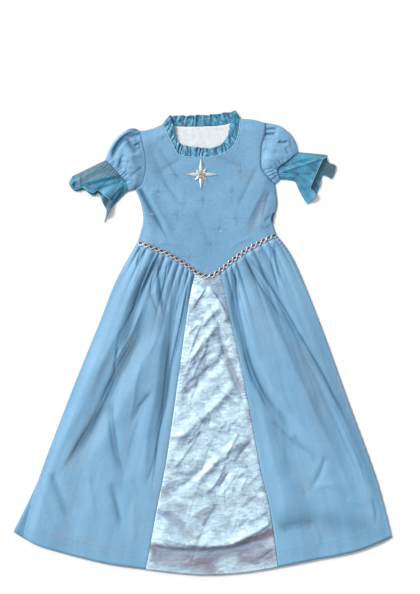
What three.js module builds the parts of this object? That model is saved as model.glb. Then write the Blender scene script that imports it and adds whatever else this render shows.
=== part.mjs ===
// A child's princess costume dress, laid flat on its back with its front up.
// Millimetres, +Z up, +Y towards the neck, +X to the right as seen from above.
import * as THREE from "three";

const { smoothstep, clamp, lerp } = THREE.MathUtils;

// Cloth
const clothWall = 1.6;
const organzaWall = 1.1;
const seamGap = 0.3; // between pieces that are sewn together
const waistGap = 0.4; // above and below the pointed waist seam, under the braid
const layerGap = 0.3; // between a layer and the one it lies on
const backTop = clothWall;
const restHeight = backTop + layerGap; // under side of the front where it touches the back

// How high the front stands off the back
const bodyLoft = 3;
const edgeRound = 26; // the front comes down to the back over this width at a folded edge

// Outlines, as points on each seam, left and right as seen from above
const sideLeftBodice = [
  { x: -143, y: 233 },
  { x: -136, y: 255 },
  { x: -130, y: 284 },
  { x: -136, y: 321 },
  { x: -148, y: 349 },
];
const armholeLeft = [
  { x: -148, y: 349 },
  { x: -134, y: 362 },
  { x: -126, y: 392 },
  { x: -127, y: 426 },
  { x: -133, y: 451 },
  { x: -138, y: 477 },
];
const sideRightBodice = [
  { x: 162, y: 249 },
  { x: 155, y: 272 },
  { x: 157, y: 290 },
  { x: 164, y: 317 },
  { x: 159, y: 360 },
];
const armholeRight = [
  { x: 159, y: 360 },
  { x: 140, y: 378 },
  { x: 129, y: 397 },
  { x: 128, y: 422 },
  { x: 130, y: 447 },
  { x: 136, y: 467 },
  { x: 139, y: 495 },
];
const shoulderLeft = [
  { x: -138, y: 477 },
  { x: -115, y: 481 },
  { x: -88, y: 492 },
];
const shoulderRight = [
  { x: 84, y: 504 },
  { x: 112, y: 502 },
  { x: 139, y: 495 },
];
const neckFront = [
  { x: -88, y: 492 },
  { x: -70, y: 457 },
  { x: -55, y: 428 },
  { x: -40, y: 421 },
  { x: -8, y: 419 },
  { x: 29, y: 421 },
  { x: 62, y: 437 },
  { x: 77, y: 462 },
  { x: 84, y: 504 },
];
const neckBack = [
  { x: -88, y: 492 },
  { x: -50, y: 488 },
  { x: 0, y: 488 },
  { x: 48, y: 492 },
  { x: 84, y: 504 },
];
const frillFrontFree = [
  { x: -72, y: 511 },
  { x: -61, y: 482 },
  { x: -52, y: 452 },
  { x: -14, y: 442 },
  { x: 28, y: 442 },
  { x: 51, y: 459 },
  { x: 58, y: 480 },
  { x: 72, y: 522 },
];
const frillBackFree = [
  { x: -72, y: 511 },
  { x: -30, y: 512 },
  { x: 20, y: 514 },
  { x: 72, y: 522 },
];
const waistFront = [
  { x: -143, y: 233 },
  { x: -82, y: 210 },
  { x: -44, y: 189 },
  { x: -16, y: 168 },
  { x: 8, y: 159 },
  { x: 30, y: 165 },
  { x: 85, y: 208 },
  { x: 133, y: 236 },
  { x: 162, y: 249 },
];
const waistBack = [
  { x: -143, y: 233 },
  { x: 10, y: 236 },
  { x: 162, y: 249 },
];
const sideLeftSkirt = [
  { x: -143, y: 233 },
  { x: -189, y: 150 },
  { x: -224, y: 62 },
  { x: -295, y: -114 },
  { x: -361, y: -290 },
  { x: -383, y: -366 },
  { x: -394, y: -415 },
];
const sideLeftSkirtBack = [
  { x: -143, y: 233 },
  { x: -189, y: 150 },
  { x: -224, y: 62 },
  { x: -295, y: -114 },
  { x: -361, y: -290 },
  { x: -416, y: -405 },
];
const sideRightSkirt = [
  { x: 162, y: 249 },
  { x: 200, y: 194 },
  { x: 255, y: 62 },
  { x: 319, y: -114 },
  { x: 383, y: -290 },
  { x: 416, y: -416 },
];
const satinSeamLeft = [
  { x: -16, y: 168 },
  { x: -31, y: 92 },
  { x: -51, y: -53 },
  { x: -78, y: -241 },
  { x: -99, y: -349 },
  { x: -124, y: -486 },
];
const satinSeamRight = [
  { x: 38, y: 171 },
  { x: 58, y: 80 },
  { x: 90, y: -64 },
  { x: 129, y: -271 },
  { x: 149, y: -356 },
  { x: 167, y: -481 },
];
const hemLeft = [
  { x: -394, y: -415 },
  { x: -356, y: -436 },
  { x: -224, y: -471 },
  { x: -124, y: -486 },
];
const hemCentre = [
  { x: -124, y: -486 },
  { x: -60, y: -494 },
  { x: 10, y: -498 },
  { x: 90, y: -493 },
  { x: 167, y: -481 },
];
const hemRight = [
  { x: 167, y: -481 },
  { x: 238, y: -467 },
  { x: 337, y: -447 },
  { x: 416, y: -416 },
];
const hemLeftBack = [
  { x: -416, y: -405 },
  { x: -356, y: -436 },
  { x: -224, y: -471 },
  { x: -124, y: -486 },
];

// Sleeves: the outer fold from the shoulder, and the elastic that gathers the cuff end
const sleeveTopLeft = [
  { x: -138, y: 477 },
  { x: -150, y: 486 },
  { x: -167, y: 482 },
  { x: -187, y: 466 },
  { x: -203, y: 443 },
  { x: -214, y: 413 },
];
const elasticLeft = [
  { x: -214, y: 413 },
  { x: -199, y: 400 },
  { x: -183, y: 382 },
  { x: -169, y: 366 },
  { x: -163, y: 345 },
];
const sleeveTopRight = [
  { x: 139, y: 495 },
  { x: 158, y: 492 },
  { x: 175, y: 486 },
  { x: 194, y: 470 },
  { x: 206, y: 449 },
  { x: 210, y: 431 },
];
const elasticRight = [
  { x: 210, y: 431 },
  { x: 188, y: 413 },
  { x: 165, y: 394 },
  { x: 170, y: 371 },
];
const flounceHemLeft = [
  { x: -286, y: 378 },
  { x: -293, y: 361 },
  { x: -280, y: 345 },
  { x: -259, y: 347 },
  { x: -241, y: 334 },
  { x: -228, y: 340 },
  { x: -219, y: 319 },
  { x: -211, y: 301 },
  { x: -216, y: 277 },
];
const flounceHemRight = [
  { x: 273, y: 425 },
  { x: 279, y: 408 },
  { x: 294, y: 400 },
  { x: 286, y: 373 },
  { x: 266, y: 379 },
  { x: 257, y: 350 },
  { x: 242, y: 325 },
  { x: 230, y: 317 },
];
// The flounces' inner edges between the underarm and the hem
const flounceUnderLeft = [
  { x: -172, y: 338 },
  { x: -194, y: 315 },
  { x: -206, y: 299 },
];
const flounceUnderRight = [
  { x: 187, y: 369.5 },
  { x: 203, y: 366 },
  { x: 211, y: 350 },
  { x: 221, y: 331 },
];
const puffHeight = 11; // how much the middle of a sleeve stands above its ends
const sleeveEndHeight = 6;
const flounceHeight = 6.6;
const flounceWave = 3.6;

// Gathers: where each valley meets the waist, and how far down it is drawn in
const gathersLeft = [
  { x: -132, reach: 46 },
  { x: -120, reach: 62 },
  { x: -100, reach: 95 },
  { x: -92, reach: 80 },
  { x: -79, reach: 55 },
  { x: -62, reach: 90 },
  { x: -49, reach: 60 },
  { x: -37, reach: 48 },
  { x: -28, reach: 60 },
];
const gathersRight = [
  { x: 50, reach: 55 },
  { x: 61, reach: 100 },
  { x: 71, reach: 70 },
  { x: 90, reach: 90 },
  { x: 107, reach: 110 },
  { x: 125, reach: 60 },
  { x: 140, reach: 48 },
  { x: 155, reach: 65 },
];
const gatherRise = 4.2;
const gatherTop = 5; // they start this far below the waist seam
const gatherFull = 18; // and reach their full height here
const gatherEdge = 8; // and this far in from the side

// Folds of the front: a ridge where rise is above zero and a trough where it is below.
// left and right are the widths of its two slopes, looking from its start to its end.
const foldColumns = ["name", "fromX", "fromY", "bendX", "bendY", "toX", "toY", "rise", "left", "right"];
const foldTable = [
  ["bodice left, from the armpit", -134, 345, -112, 300, -84, 238, -2.6, 9, 14],
  ["bodice left, beside it", -118, 350, -96, 300, -66, 246, 2.2, 16, 10],
  ["bodice left, from the shoulder", -122, 452, -88, 370, -30, 290, -2, 15, 12],
  ["bodice right, from the armpit", 154, 350, 126, 318, 106, 254, -2, 12, 16],
  ["skirt left, outer ridge", -122, 196, -172, 70, -268, -130, 3.6, 14, 34],
  ["skirt left, deep gather", -99, 200, -142, 84, -190, -24, -3.4, 10, 12],
  ["skirt left, main trough", -100, 110, -186, -50, -330, -290, -3, 15, 24],
  ["skirt left, main ridge", -84, 70, -160, -90, -292, -300, 4.2, 42, 17],
  ["skirt left, hooked gather", -90, 196, -104, 112, -74, 74, -3, 9, 9],
  ["skirt left, beside the satin", -60, 176, -64, 0, -94, -204, -2.8, 10, 14],
  ["skirt left, inner ridge", -80, 60, -104, -90, -140, -330, 3, 14, 26],
  ["skirt left, lower trough", -204, -110, -196, -220, -168, -292, -2.4, 14, 10],
  ["skirt left, short crease", -116, -100, -134, -124, -160, -170, -2, 12, 10],
  ["skirt left, hem crease", -200, -292, -192, -350, -174, -404, -1.8, 14, 10],
  ["skirt left, corner crease", -334, -268, -312, -330, -284, -392, -1.8, 16, 10],
  ["skirt right, main trough", 112, 206, 226, -8, 378, -360, -3.2, 10, 18],
  ["skirt right, outer ridge", 132, 196, 250, -4, 392, -350, 2.4, 22, 10],
  ["skirt right, main ridge", 104, 160, 196, -30, 344, -356, 4, 14, 46],
  ["skirt right, beside the satin", 62, 168, 82, -70, 214, -206, -3.2, 16, 10],
  ["skirt right, inner ridge", 82, 150, 104, -60, 250, -200, 3, 26, 10],
  ["skirt right, hem ridge", 126, -120, 160, -250, 196, -420, 2.6, 34, 16],
  ["skirt right, knee crease", 224, -204, 282, -244, 238, -306, -2.4, 10, 12],
  ["skirt right, hem trough", 168, -396, 214, -376, 262, -384, -2.2, 16, 16],
  ["satin, first", -8, 40, 20, 74, 46, 92, 2.6, 12, 9],
  ["satin, second", -44, -40, 0, 0, 40, 56, 2.8, 12, 9],
  ["satin, third", -50, -120, 6, -60, 70, 10, -2.4, 12, 12],
  ["satin, fourth", -66, -214, 10, -150, 84, -66, 3, 16, 11],
  ["satin, fifth", -20, -300, 40, -230, 110, -190, 2.8, 14, 12],
  ["satin, sixth", -92, -330, -20, -300, 30, -220, -2.4, 14, 12],
  ["satin, above the hem", -112, -424, 20, -456, 160, -390, 3.4, 20, 14],
];
const foldFadeIn = 0.16;
const foldFadeOut = 0.72;

// Frill round the neck
const frillWaves = { front: 27, back: 15 };
const frillRise = { front: 4.2, back: 3.2 };

// Trimmings
const braidWidth = 9;
const braidThickness = 1.8;
const braidLink = 10; // length of one link of the plait
const waistLength = 380; // along the pointed seam
const braidRelief = 1;
const starCentre = { x: -3, y: 381 };
const starReach = { up: 35, down: 32, left: 34, right: 37, diagonal: 19, notch: 9.5 };
const starEdge = 0.9;
const starRidge = 1.6;
const starDiscRadius = 9.5;
const starDiscHeight = 1.5;
const trimLift = 0.45; // above the cloth that a trimming is sewn to

const colour = {
  cloth: 0x84b2d4,
  satin: 0xc9d6e6,
  organza: 0x4b96b9,
  braid: 0xb4afa8,
  star: 0xe2e2e2,
  glitter: 0xbdbba6,
};

// A smooth curve through a table of points, walked by its share of the whole length.
function seam(rows) {
  const curve = new THREE.SplineCurve(rows.map((row) => new THREE.Vector2(row.x, row.y)));
  curve.arcLengthDivisions = 300;
  return (share) => curve.getPointAt(clamp(share, 0, 1));
}

// Several curves end to end, each up to its own share.
function joined(pieces) {
  return (share) => {
    let start = 0;
    for (const piece of pieces) {
      if (share <= piece.upTo) return piece.curve((share - start) / (piece.upTo - start));
      start = piece.upTo;
    }
    return pieces[pieces.length - 1].curve(1);
  };
}

// The plan of a panel between four seams: u runs to the right and v up.
function patch({ bottom, top, left, right }) {
  const corners = { bl: bottom(0), br: bottom(1), tl: top(0), tr: top(1) };
  return (u, v) => {
    const point = new THREE.Vector2();
    point.addScaledVector(bottom(u), 1 - v).addScaledVector(top(u), v);
    point.addScaledVector(left(v), 1 - u).addScaledVector(right(v), u);
    point.addScaledVector(corners.bl, -(1 - u) * (1 - v)).addScaledVector(corners.br, -u * (1 - v));
    point.addScaledVector(corners.tl, -(1 - u) * v).addScaledVector(corners.tr, -u * v);
    return point;
  };
}

// count + 1 even stations from 0 to 1, with one on each corner.
function stations(count, corners = []) {
  const ends = [0, ...corners, 1];
  const list = [0];
  for (let k = 1; k < ends.length; k += 1) {
    const span = ends[k] - ends[k - 1];
    const steps = Math.max(1, Math.round(count * span));
    for (let i = 1; i <= steps; i += 1) list.push(ends[k - 1] + (span * i) / steps);
  }
  return list;
}

function named(name, geometry, color, finish) {
  const plain = { roughness: 0.6, metalness: 0, flatShading: true };
  const look = new THREE.MeshStandardMaterial({ color, ...plain, ...finish });
  const mesh = new THREE.Mesh(geometry, look);
  mesh.name = name;
  return mesh;
}

// A mesh from points and faces, turned right side out.
function solid(name, points, faces, color, finish = {}) {
  const geometry = new THREE.BufferGeometry();
  geometry.setAttribute("position", new THREE.Float32BufferAttribute(points.flat(), 3));
  let volume = 0;
  const corner = [new THREE.Vector3(), new THREE.Vector3(), new THREE.Vector3()];
  for (const face of faces) {
    face.forEach((index, k) => corner[k].fromArray(points[index]));
    volume += corner[0].dot(corner[1].cross(corner[2]));
  }
  const outward = volume > 0 ? faces : faces.map(([a, b, c]) => [a, c, b]);
  geometry.setIndex(outward.flat());
  geometry.computeVertexNormals();
  return named(name, geometry, color, finish);
}

function quad(faces, a, b, c, d) {
  faces.push([a, b, c], [a, c, d]);
}

// A cloth wall over a plan. under gives the height of its lower side. bottom makes that side flat instead,
// where the panel rests on the one below and fills the slight loft between them.
function clothPanel(name, { place, under, bottom, wall = clothWall, us, vs, color, finish }) {
  const points = [];
  const faces = [];
  const across = us.length;
  const layer = across * vs.length;
  for (const side of [0, 1]) {
    for (const v of vs) {
      for (const u of us) {
        const at = place(u, v);
        const low = under(at, u, v);
        points.push([at.x, at.y, side ? low + wall : bottom ?? low]);
      }
    }
  }
  const id = (side, i, j) => side * layer + j * across + i;
  for (let j = 0; j + 1 < vs.length; j += 1) {
    for (let i = 0; i + 1 < across; i += 1) {
      quad(faces, id(1, i, j), id(1, i + 1, j), id(1, i + 1, j + 1), id(1, i, j + 1));
      quad(faces, id(0, i, j), id(0, i, j + 1), id(0, i + 1, j + 1), id(0, i + 1, j));
    }
  }
  const last = { i: across - 1, j: vs.length - 1 };
  for (let i = 0; i < last.i; i += 1) {
    quad(faces, id(0, i, 0), id(0, i + 1, 0), id(1, i + 1, 0), id(1, i, 0));
    quad(faces, id(0, i + 1, last.j), id(0, i, last.j), id(1, i, last.j), id(1, i + 1, last.j));
  }
  for (let j = 0; j < last.j; j += 1) {
    quad(faces, id(0, 0, j + 1), id(0, 0, j), id(1, 0, j), id(1, 0, j + 1));
    quad(faces, id(0, last.i, j), id(0, last.i, j + 1), id(1, last.i, j + 1), id(1, last.i, j));
  }
  return solid(name, points, faces, color, finish);
}

// A flattened tube of cloth, open at both ends. It lies on the floor, and upper gives its top.
function clothTube(name, { place, upper, wall, columns, rows, color, finish }) {
  const points = [];
  const faces = [];
  const ring = 2 * (columns + 1);
  const foldHeight = 2 * wall + 0.4;
  for (let j = 0; j <= rows; j += 1) {
    const w = j / rows;
    const width = place(0, w).distanceTo(place(1, w));
    const inset = wall / width;
    for (const inner of [0, 1]) {
      for (let k = 0; k < ring; k += 1) {
        const isLower = k <= columns;
        const s = isLower ? k / columns : (ring - 1 - k) / columns;
        const at = place(inner ? clamp(s, inset, 1 - inset) : s, w);
        const top = Math.max(foldHeight, upper(s, w));
        const edge = s === 0 || s === 1;
        const height = isLower ? 0 : edge ? foldHeight : top;
        points.push([at.x, at.y, isLower ? inner * wall : height - inner * wall]);
      }
    }
  }
  const id = (j, inner, k) => (2 * j + inner) * ring + (k % ring);
  for (let k = 0; k < ring; k += 1) {
    for (let j = 0; j < rows; j += 1) {
      quad(faces, id(j, 0, k), id(j, 0, k + 1), id(j + 1, 0, k + 1), id(j + 1, 0, k));
      quad(faces, id(j, 1, k + 1), id(j, 1, k), id(j + 1, 1, k), id(j + 1, 1, k + 1));
    }
    quad(faces, id(0, 0, k + 1), id(0, 0, k), id(0, 1, k), id(0, 1, k + 1));
    quad(faces, id(rows, 0, k), id(rows, 0, k + 1), id(rows, 1, k + 1), id(rows, 1, k));
  }
  return solid(name, points, faces, color, finish);
}

// A flat panel on the floor, cut along a closed outline.
function flatPanel(name, outline) {
  const shape = new THREE.Shape(outline);
  const geometry = new THREE.ExtrudeGeometry(shape, { depth: clothWall, bevelEnabled: false });
  return named(name, geometry, colour.cloth);
}

// The same curve in even straight steps, so that the two pieces at a seam meet on one line.
function stepped(curve, steps) {
  return (share) => {
    const place = clamp(share, 0, 1) * steps;
    const first = Math.min(Math.floor(place), steps - 1);
    return curve(first / steps).lerp(curve((first + 1) / steps), place - first);
  };
}

// The line beside a curve, on its left where the distance is above zero.
function beside(curve, distance) {
  const reach = 0.01;
  return (share) => {
    const along = curve(share + reach).sub(curve(share - reach)).normalize();
    return curve(share).add(new THREE.Vector2(-along.y, along.x).multiplyScalar(distance));
  };
}

// Points along a curve, moved a little where the panel is trimmed at its seam.
function walk(curve, steps, { from = 0, to = 1, dx = 0, dy = 0 } = {}) {
  return Array.from({ length: steps + 1 }, (_, i) => {
    const at = curve(lerp(from, to, i / steps));
    return new THREE.Vector2(at.x + dx, at.y + dy);
  });
}

const armholeSteps = 8;
const neckSteps = 18;
const seams = {
  sideLeftBodice: seam(sideLeftBodice),
  sideRightBodice: seam(sideRightBodice),
  armholeLeft: stepped(seam(armholeLeft), armholeSteps),
  armholeRight: stepped(seam(armholeRight), armholeSteps),
  shoulderLeft: seam(shoulderLeft),
  shoulderRight: seam(shoulderRight),
  neckFront: stepped(seam(neckFront), neckSteps),
  neckBack: seam(neckBack),
  waistFront: seam(waistFront),
  waistBack: seam(waistBack),
  sideLeftSkirt: seam(sideLeftSkirt),
  sideLeftSkirtBack: seam(sideLeftSkirtBack),
  sideRightSkirt: seam(sideRightSkirt),
  satinLeft: seam(satinSeamLeft),
  satinRight: seam(satinSeamRight),
  hemLeft: seam(hemLeft),
  hemLeftBack: seam(hemLeftBack),
  hemCentre: seam(hemCentre),
  hemRight: seam(hemRight),
};

// The share of the waist seam's length at a given x.
function waistShare(x) {
  let low = 0;
  let high = 1;
  for (let step = 0; step < 30; step += 1) {
    const middle = (low + high) / 2;
    if (seams.waistFront(middle).x < x) low = middle;
    else high = middle;
  }
  return (low + high) / 2;
}

// Folded edges, where the front turns round to the back
const foldedEdges = [
  seams.sideLeftBodice,
  seams.sideRightBodice,
  seams.shoulderLeft,
  seams.shoulderRight,
  seams.sideLeftSkirt,
  seams.sideRightSkirt,
].flatMap((curve) => walk(curve, 60));

function fromEdge(at) {
  let nearest = Infinity;
  for (const point of foldedEdges) nearest = Math.min(nearest, point.distanceTo(at));
  return nearest;
}

// A fold's line, as short straight steps.
const foldSteps = 14;
const foldLines = foldTable.map((row) => {
  const fold = Object.fromEntries(foldColumns.map((column, k) => [column, row[k]]));
  const start = new THREE.Vector2(fold.fromX, fold.fromY);
  const bend = new THREE.Vector2(fold.bendX, fold.bendY);
  const end = new THREE.Vector2(fold.toX, fold.toY);
  const line = new THREE.QuadraticBezierCurve(start, bend, end).getPoints(foldSteps);
  return { ...fold, line };
});

// What one fold adds to the height at a point.
function foldHeight(fold, at) {
  let best = { distance: Infinity, side: 1, share: 0 };
  for (let k = 0; k < foldSteps; k += 1) {
    const a = fold.line[k];
    const along = fold.line[k + 1].clone().sub(a);
    const offset = at.clone().sub(a);
    const t = clamp(offset.dot(along) / along.lengthSq(), 0, 1);
    const distance = offset.clone().addScaledVector(along, -t).length();
    if (distance < best.distance) {
      best = { distance, side: along.cross(offset), share: (k + t) / foldSteps };
    }
  }
  const slope = best.side > 0 ? fold.left : fold.right;
  const fade = smoothstep(best.share, 0, foldFadeIn) * (1 - smoothstep(best.share, foldFadeOut, 1));
  return fold.rise * fade * Math.exp(-((best.distance / slope) ** 2));
}

// Height of the under side of the front at a point of the plan.
function frontUnder(at) {
  const edge = smoothstep(fromEdge(at), 0, edgeRound);
  let height = bodyLoft;
  for (const fold of foldLines) height += foldHeight(fold, at);
  return restHeight + Math.max(0, height) * edge;
}

// The gathers below the waist seam: valleys at the table's places, a ridge between each two.
function gathers(rows, from, to) {
  const valleys = [{ ...rows[0], x: from }, ...rows, { ...rows[rows.length - 1], x: to }];
  const first = waistShare(from);
  const span = waistShare(to) - first;
  const shares = valleys.map((valley) => (waistShare(valley.x) - first) / span);
  const columns = [0];
  for (let k = 1; k < shares.length; k += 1) {
    for (const part of [0.25, 0.5, 0.75, 1]) columns.push(lerp(shares[k - 1], shares[k], part));
  }
  const rise = (u, below) => {
    let k = 1;
    while (k < shares.length - 1 && u > shares[k]) k += 1;
    const part = clamp((u - shares[k - 1]) / (shares[k] - shares[k - 1]), 0, 1);
    const reach = lerp(valleys[k - 1].reach, valleys[k].reach, part);
    const bell = 0.5 - 0.5 * Math.cos(2 * Math.PI * part);
    const start = smoothstep(below, gatherTop, gatherFull);
    return gatherRise * bell * start * Math.exp(-((below / reach) ** 1.5));
  };
  return { columns, rise };
}

// The three panels of the front skirt share their rows, closer together near the waist.
const skirtRows = 13;
const skirtLength = 650;
const skirtStations = Array.from({ length: skirtRows + 1 }, (_, j) => 1 - (1 - j / skirtRows) ** 1.5);
skirtStations.splice(-1, 0, 1 - gatherTop / skirtLength); // one more row just below the braid

const seamX = { left: satinSeamLeft[0].x, right: satinSeamRight[0].x };

// Part of the waist seam between two places, and a seam walked from its far end.
function waistBetween(from, to) {
  const first = waistShare(from);
  const last = waistShare(to);
  return (share) => seams.waistFront(lerp(first, last, share));
}
const reversed = (curve) => (share) => curve(1 - share);

const trimmed = (place, { left = 0, right = 0, top = 0, bottom = 0 }) => (u, v) => {
  const at = place(u, v);
  if (u === 0) at.x += left;
  if (u === 1) at.x -= right;
  if (v === 1) at.y -= top;
  if (v === 0) at.y += bottom;
  return at;
};

function skirtPanel(name, { waist, hem, left, right, table, trim }) {
  const plan = patch({ bottom: hem, top: waist, left: reversed(left), right: reversed(right) });
  const place = trimmed(plan, { top: waistGap, ...trim });
  const gathered = gathers(table, waist(0).x, waist(1).x);
  const under = (at, u, v) => {
    const below = plan(u, 1).distanceTo(plan(u, v));
    return frontUnder(at) + gathered.rise(u, below) * smoothstep(fromEdge(at), 0, gatherEdge);
  };
  return clothPanel(name, {
    place,
    us: gathered.columns,
    vs: skirtStations,
    under,
    bottom: restHeight,
    color: colour.cloth,
  });
}

function skirtCentre() {
  const plan = patch({
    bottom: seams.hemCentre,
    top: waistBetween(seamX.left, seamX.right),
    left: reversed(seams.satinLeft),
    right: reversed(seams.satinRight),
  });
  return clothPanel("skirt_centre_panel", {
    place: trimmed(plan, { top: waistGap, left: seamGap, right: seamGap }),
    us: stations(14),
    vs: skirtStations,
    under: (at) => frontUnder(at),
    bottom: restHeight,
    color: colour.satin,
    finish: { roughness: 0.3 },
  });
}

// Bodice
const armpitShare = 0.46;
const neckShare = { left: 0.14, right: 0.86 };
function bodiceSides() {
  const left = joined([
    { curve: seams.sideLeftBodice, upTo: armpitShare },
    { curve: seams.armholeLeft, upTo: 1 },
  ]);
  const right = joined([
    { curve: seams.sideRightBodice, upTo: armpitShare },
    { curve: seams.armholeRight, upTo: 1 },
  ]);
  return { left, right };
}

function frontBodice() {
  const top = joined([
    { curve: seams.shoulderLeft, upTo: neckShare.left },
    { curve: seams.neckFront, upTo: neckShare.right },
    { curve: seams.shoulderRight, upTo: 1 },
  ]);
  const plan = patch({ bottom: seams.waistFront, top, ...bodiceSides() });
  return clothPanel("front_bodice", {
    place: trimmed(plan, { bottom: waistGap }),
    us: stations(25, [neckShare.left, neckShare.right]),
    vs: stations(14, [armpitShare]),
    under: (at) => frontUnder(at),
    color: colour.cloth,
  });
}

function backBodice() {
  const outline = [
    ...walk(seams.waistBack, 12, { dy: seamGap }).slice(0, -1),
    ...walk(seams.sideRightBodice, 8).slice(0, -1),
    ...walk(seams.armholeRight, armholeSteps).slice(0, -1),
    ...walk(reversed(seams.shoulderRight), 3).slice(0, -1),
    ...walk(reversed(seams.neckBack), 12).slice(0, -1),
    ...walk(reversed(seams.shoulderLeft), 3).slice(0, -1),
    ...walk(reversed(seams.armholeLeft), armholeSteps).slice(0, -1),
    ...walk(reversed(seams.sideLeftBodice), 8).slice(0, -1),
  ];
  return flatPanel("back_bodice", outline);
}

function backSkirt() {
  const outline = [
    ...walk(seams.hemLeftBack, 10).slice(0, -1),
    ...walk(seams.hemCentre, 8).slice(0, -1),
    ...walk(seams.hemRight, 8).slice(0, -1),
    ...walk(reversed(seams.sideRightSkirt), 16).slice(0, -1),
    ...walk(reversed(seams.waistBack), 12).slice(0, -1),
    ...walk(seams.sideLeftSkirtBack, 16).slice(0, -1),
  ];
  return flatPanel("back_skirt", outline);
}

// Sleeves: s runs from the outer fold to the underarm fold, w from the armhole to the elastic
const straight = (from, to) => (share) => from.clone().lerp(to, share);
function tubePlan({ start, end, outer, under }) {
  return patch({ bottom: start, top: end, left: outer, right: under });
}

function sleeve(name, { armhole, elastic, top, side }) {
  const start = reversed(beside(armhole, -side * (seamGap + 0.1)));
  const shift = start(0).sub(top(0));
  const outer = (w) => top(w).addScaledVector(shift, 1 - w);
  const place = tubePlan({ start, end: elastic, outer, under: straight(start(1), elastic(1)) });
  const headGathers = 7;
  const elasticGathers = 8;
  return clothTube(name, {
    place,
    wall: clothWall,
    columns: 2 * elasticGathers,
    rows: 6,
    upper: (s, w) => {
      const dome = Math.sin(Math.PI * s) ** 0.6;
      const puff = sleeveEndHeight + puffHeight * Math.sin(Math.PI * clamp(0.12 + 0.8 * w, 0, 1)) ** 0.8;
      const head = 1.2 * (1 - w) ** 2 * Math.cos(2 * Math.PI * headGathers * s);
      const drawn = 1.3 * w ** 2 * Math.cos(2 * Math.PI * elasticGathers * s);
      return 2 * clothWall + 0.4 + dome * (puff + head - drawn - 3 * w);
    },
    color: colour.cloth,
  });
}

// Organza flounce below the elastic: it spreads into waves towards its free edge.
function flounce(name, { elastic, hem, under, side }) {
  const start = beside(elastic, side * (seamGap + 0.1));
  const place = tubePlan({
    start,
    end: hem,
    outer: straight(start(0), hem(0)),
    under: seam([start(1), ...under, hem(1)]),
  });
  const waves = 12;
  return clothTube(name, {
    place,
    wall: organzaWall,
    columns: 2 * waves,
    rows: 6,
    upper: (s, w) => {
      const wave = 0.5 + 0.5 * Math.cos(Math.PI * 2 * waves * s);
      const shoulder = smoothstep(Math.min(s, 1 - s), 0, 0.12);
      return 2 * organzaWall + 0.4 + shoulder * (flounceHeight - 1.6 + (0.5 + w) * (1 - wave) * flounceWave);
    },
    color: colour.organza,
    finish: { roughness: 0.4 },
  });
}

// The frill inside the neck, gathered into its seam and free at its other edge.
function frill(name, { seamLine, free, waves, rise, base, columns }) {
  const place = (u, v) => seamLine(u).lerp(free(u), v);
  const wave = (u, v) => rise * (0.25 + 0.75 * v) * (0.5 - 0.5 * Math.cos(2 * Math.PI * waves * u));
  return clothPanel(name, {
    place,
    wall: organzaWall,
    us: stations(columns),
    vs: [0, 0.5, 1],
    under: (at, u, v) => base(at, u, v) + wave(u, v),
    color: colour.organza,
    finish: { roughness: 0.4 },
  });
}

function neckFrills() {
  const frillGap = 0.5;
  const overBack = organzaWall + frillRise.back + 0.8; // the ends of the front frill cross the back one
  const frontBase = (at, u, v) => {
    const crossing = 1 - smoothstep(Math.min(u, 1 - u), 0.1, 0.24);
    return lerp(frontUnder(seams.neckFront(u)) + 0.3, lerp(restHeight, overBack, crossing), v);
  };
  return [
    frill("neck_frill_front", {
      seamLine: beside(seams.neckFront, frillGap),
      free: seam(frillFrontFree),
      waves: frillWaves.front,
      rise: frillRise.front,
      base: frontBase,
      columns: 2 * frillWaves.front,
    }),
    frill("neck_frill_back", {
      seamLine: beside(seams.neckBack, frillGap),
      free: seam(frillBackFree),
      waves: frillWaves.back,
      rise: frillRise.back,
      base: () => 0,
      columns: 2 * frillWaves.back,
    }),
  ];
}

// Plaited braid along the pointed waist seam
function waistBraid() {
  const columns = 2 * Math.round(waistLength / braidLink);
  const direction = (u) => {
    const step = 0.004;
    const along = seams.waistFront(u + step).sub(seams.waistFront(u - step)).normalize();
    return new THREE.Vector2(-along.y, along.x);
  };
  const place = (u, v) => {
    const share = lerp(0.008, 0.992, u);
    const scallop = 1 + 0.1 * Math.cos(Math.PI * columns * u);
    const across = (v - 0.5) * braidWidth * scallop;
    return seams.waistFront(share).addScaledVector(direction(share), across);
  };
  const plait = (u, v) => braidRelief * (0.5 + 0.5 * Math.cos(Math.PI * (columns * u + 2 * v)));
  return clothPanel("waist_braid", {
    place,
    wall: braidThickness,
    us: stations(columns),
    vs: [0, 0.5, 1],
    under: (at, u, v) => frontUnder(at) + clothWall + trimLift + plait(u, v),
    color: colour.braid,
    finish: { roughness: 0.35, metalness: 0.7 },
  });
}

// Eight-pointed star: four long points and four short ones, each with a raised ridge
function starApplique() {
  const { up, down, left, right, diagonal, notch } = starReach;
  const reach = [right, diagonal, up, diagonal, left, diagonal, down, diagonal];
  const points = [];
  const faces = [];
  const rim = [];
  reach.forEach((length, k) => {
    rim.push({ angle: (k * Math.PI) / 4, length });
    rim.push({ angle: ((k + 0.5) * Math.PI) / 4, length: notch });
  });
  const put = ({ angle, length }, lift) => {
    const at = new THREE.Vector2(starCentre.x, starCentre.y);
    at.add(new THREE.Vector2(length * Math.cos(angle), length * Math.sin(angle)));
    return points.push([at.x, at.y, frontUnder(at) + clothWall + trimLift + lift]) - 1;
  };
  const middle = { angle: 0, length: 0 };
  const lower = rim.map((tip) => put(tip, 0));
  const upper = rim.map((tip) => put(tip, starEdge));
  const under = put(middle, 0);
  const crown = put(middle, starEdge + starRidge);
  rim.forEach((_, k) => {
    const next = (k + 1) % rim.length;
    quad(faces, lower[k], lower[next], upper[next], upper[k]);
    faces.push([upper[k], upper[next], crown], [lower[next], lower[k], under]);
  });
  return solid("star_applique", points, faces, colour.star, { roughness: 0.25, metalness: 0.6 });
}

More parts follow.
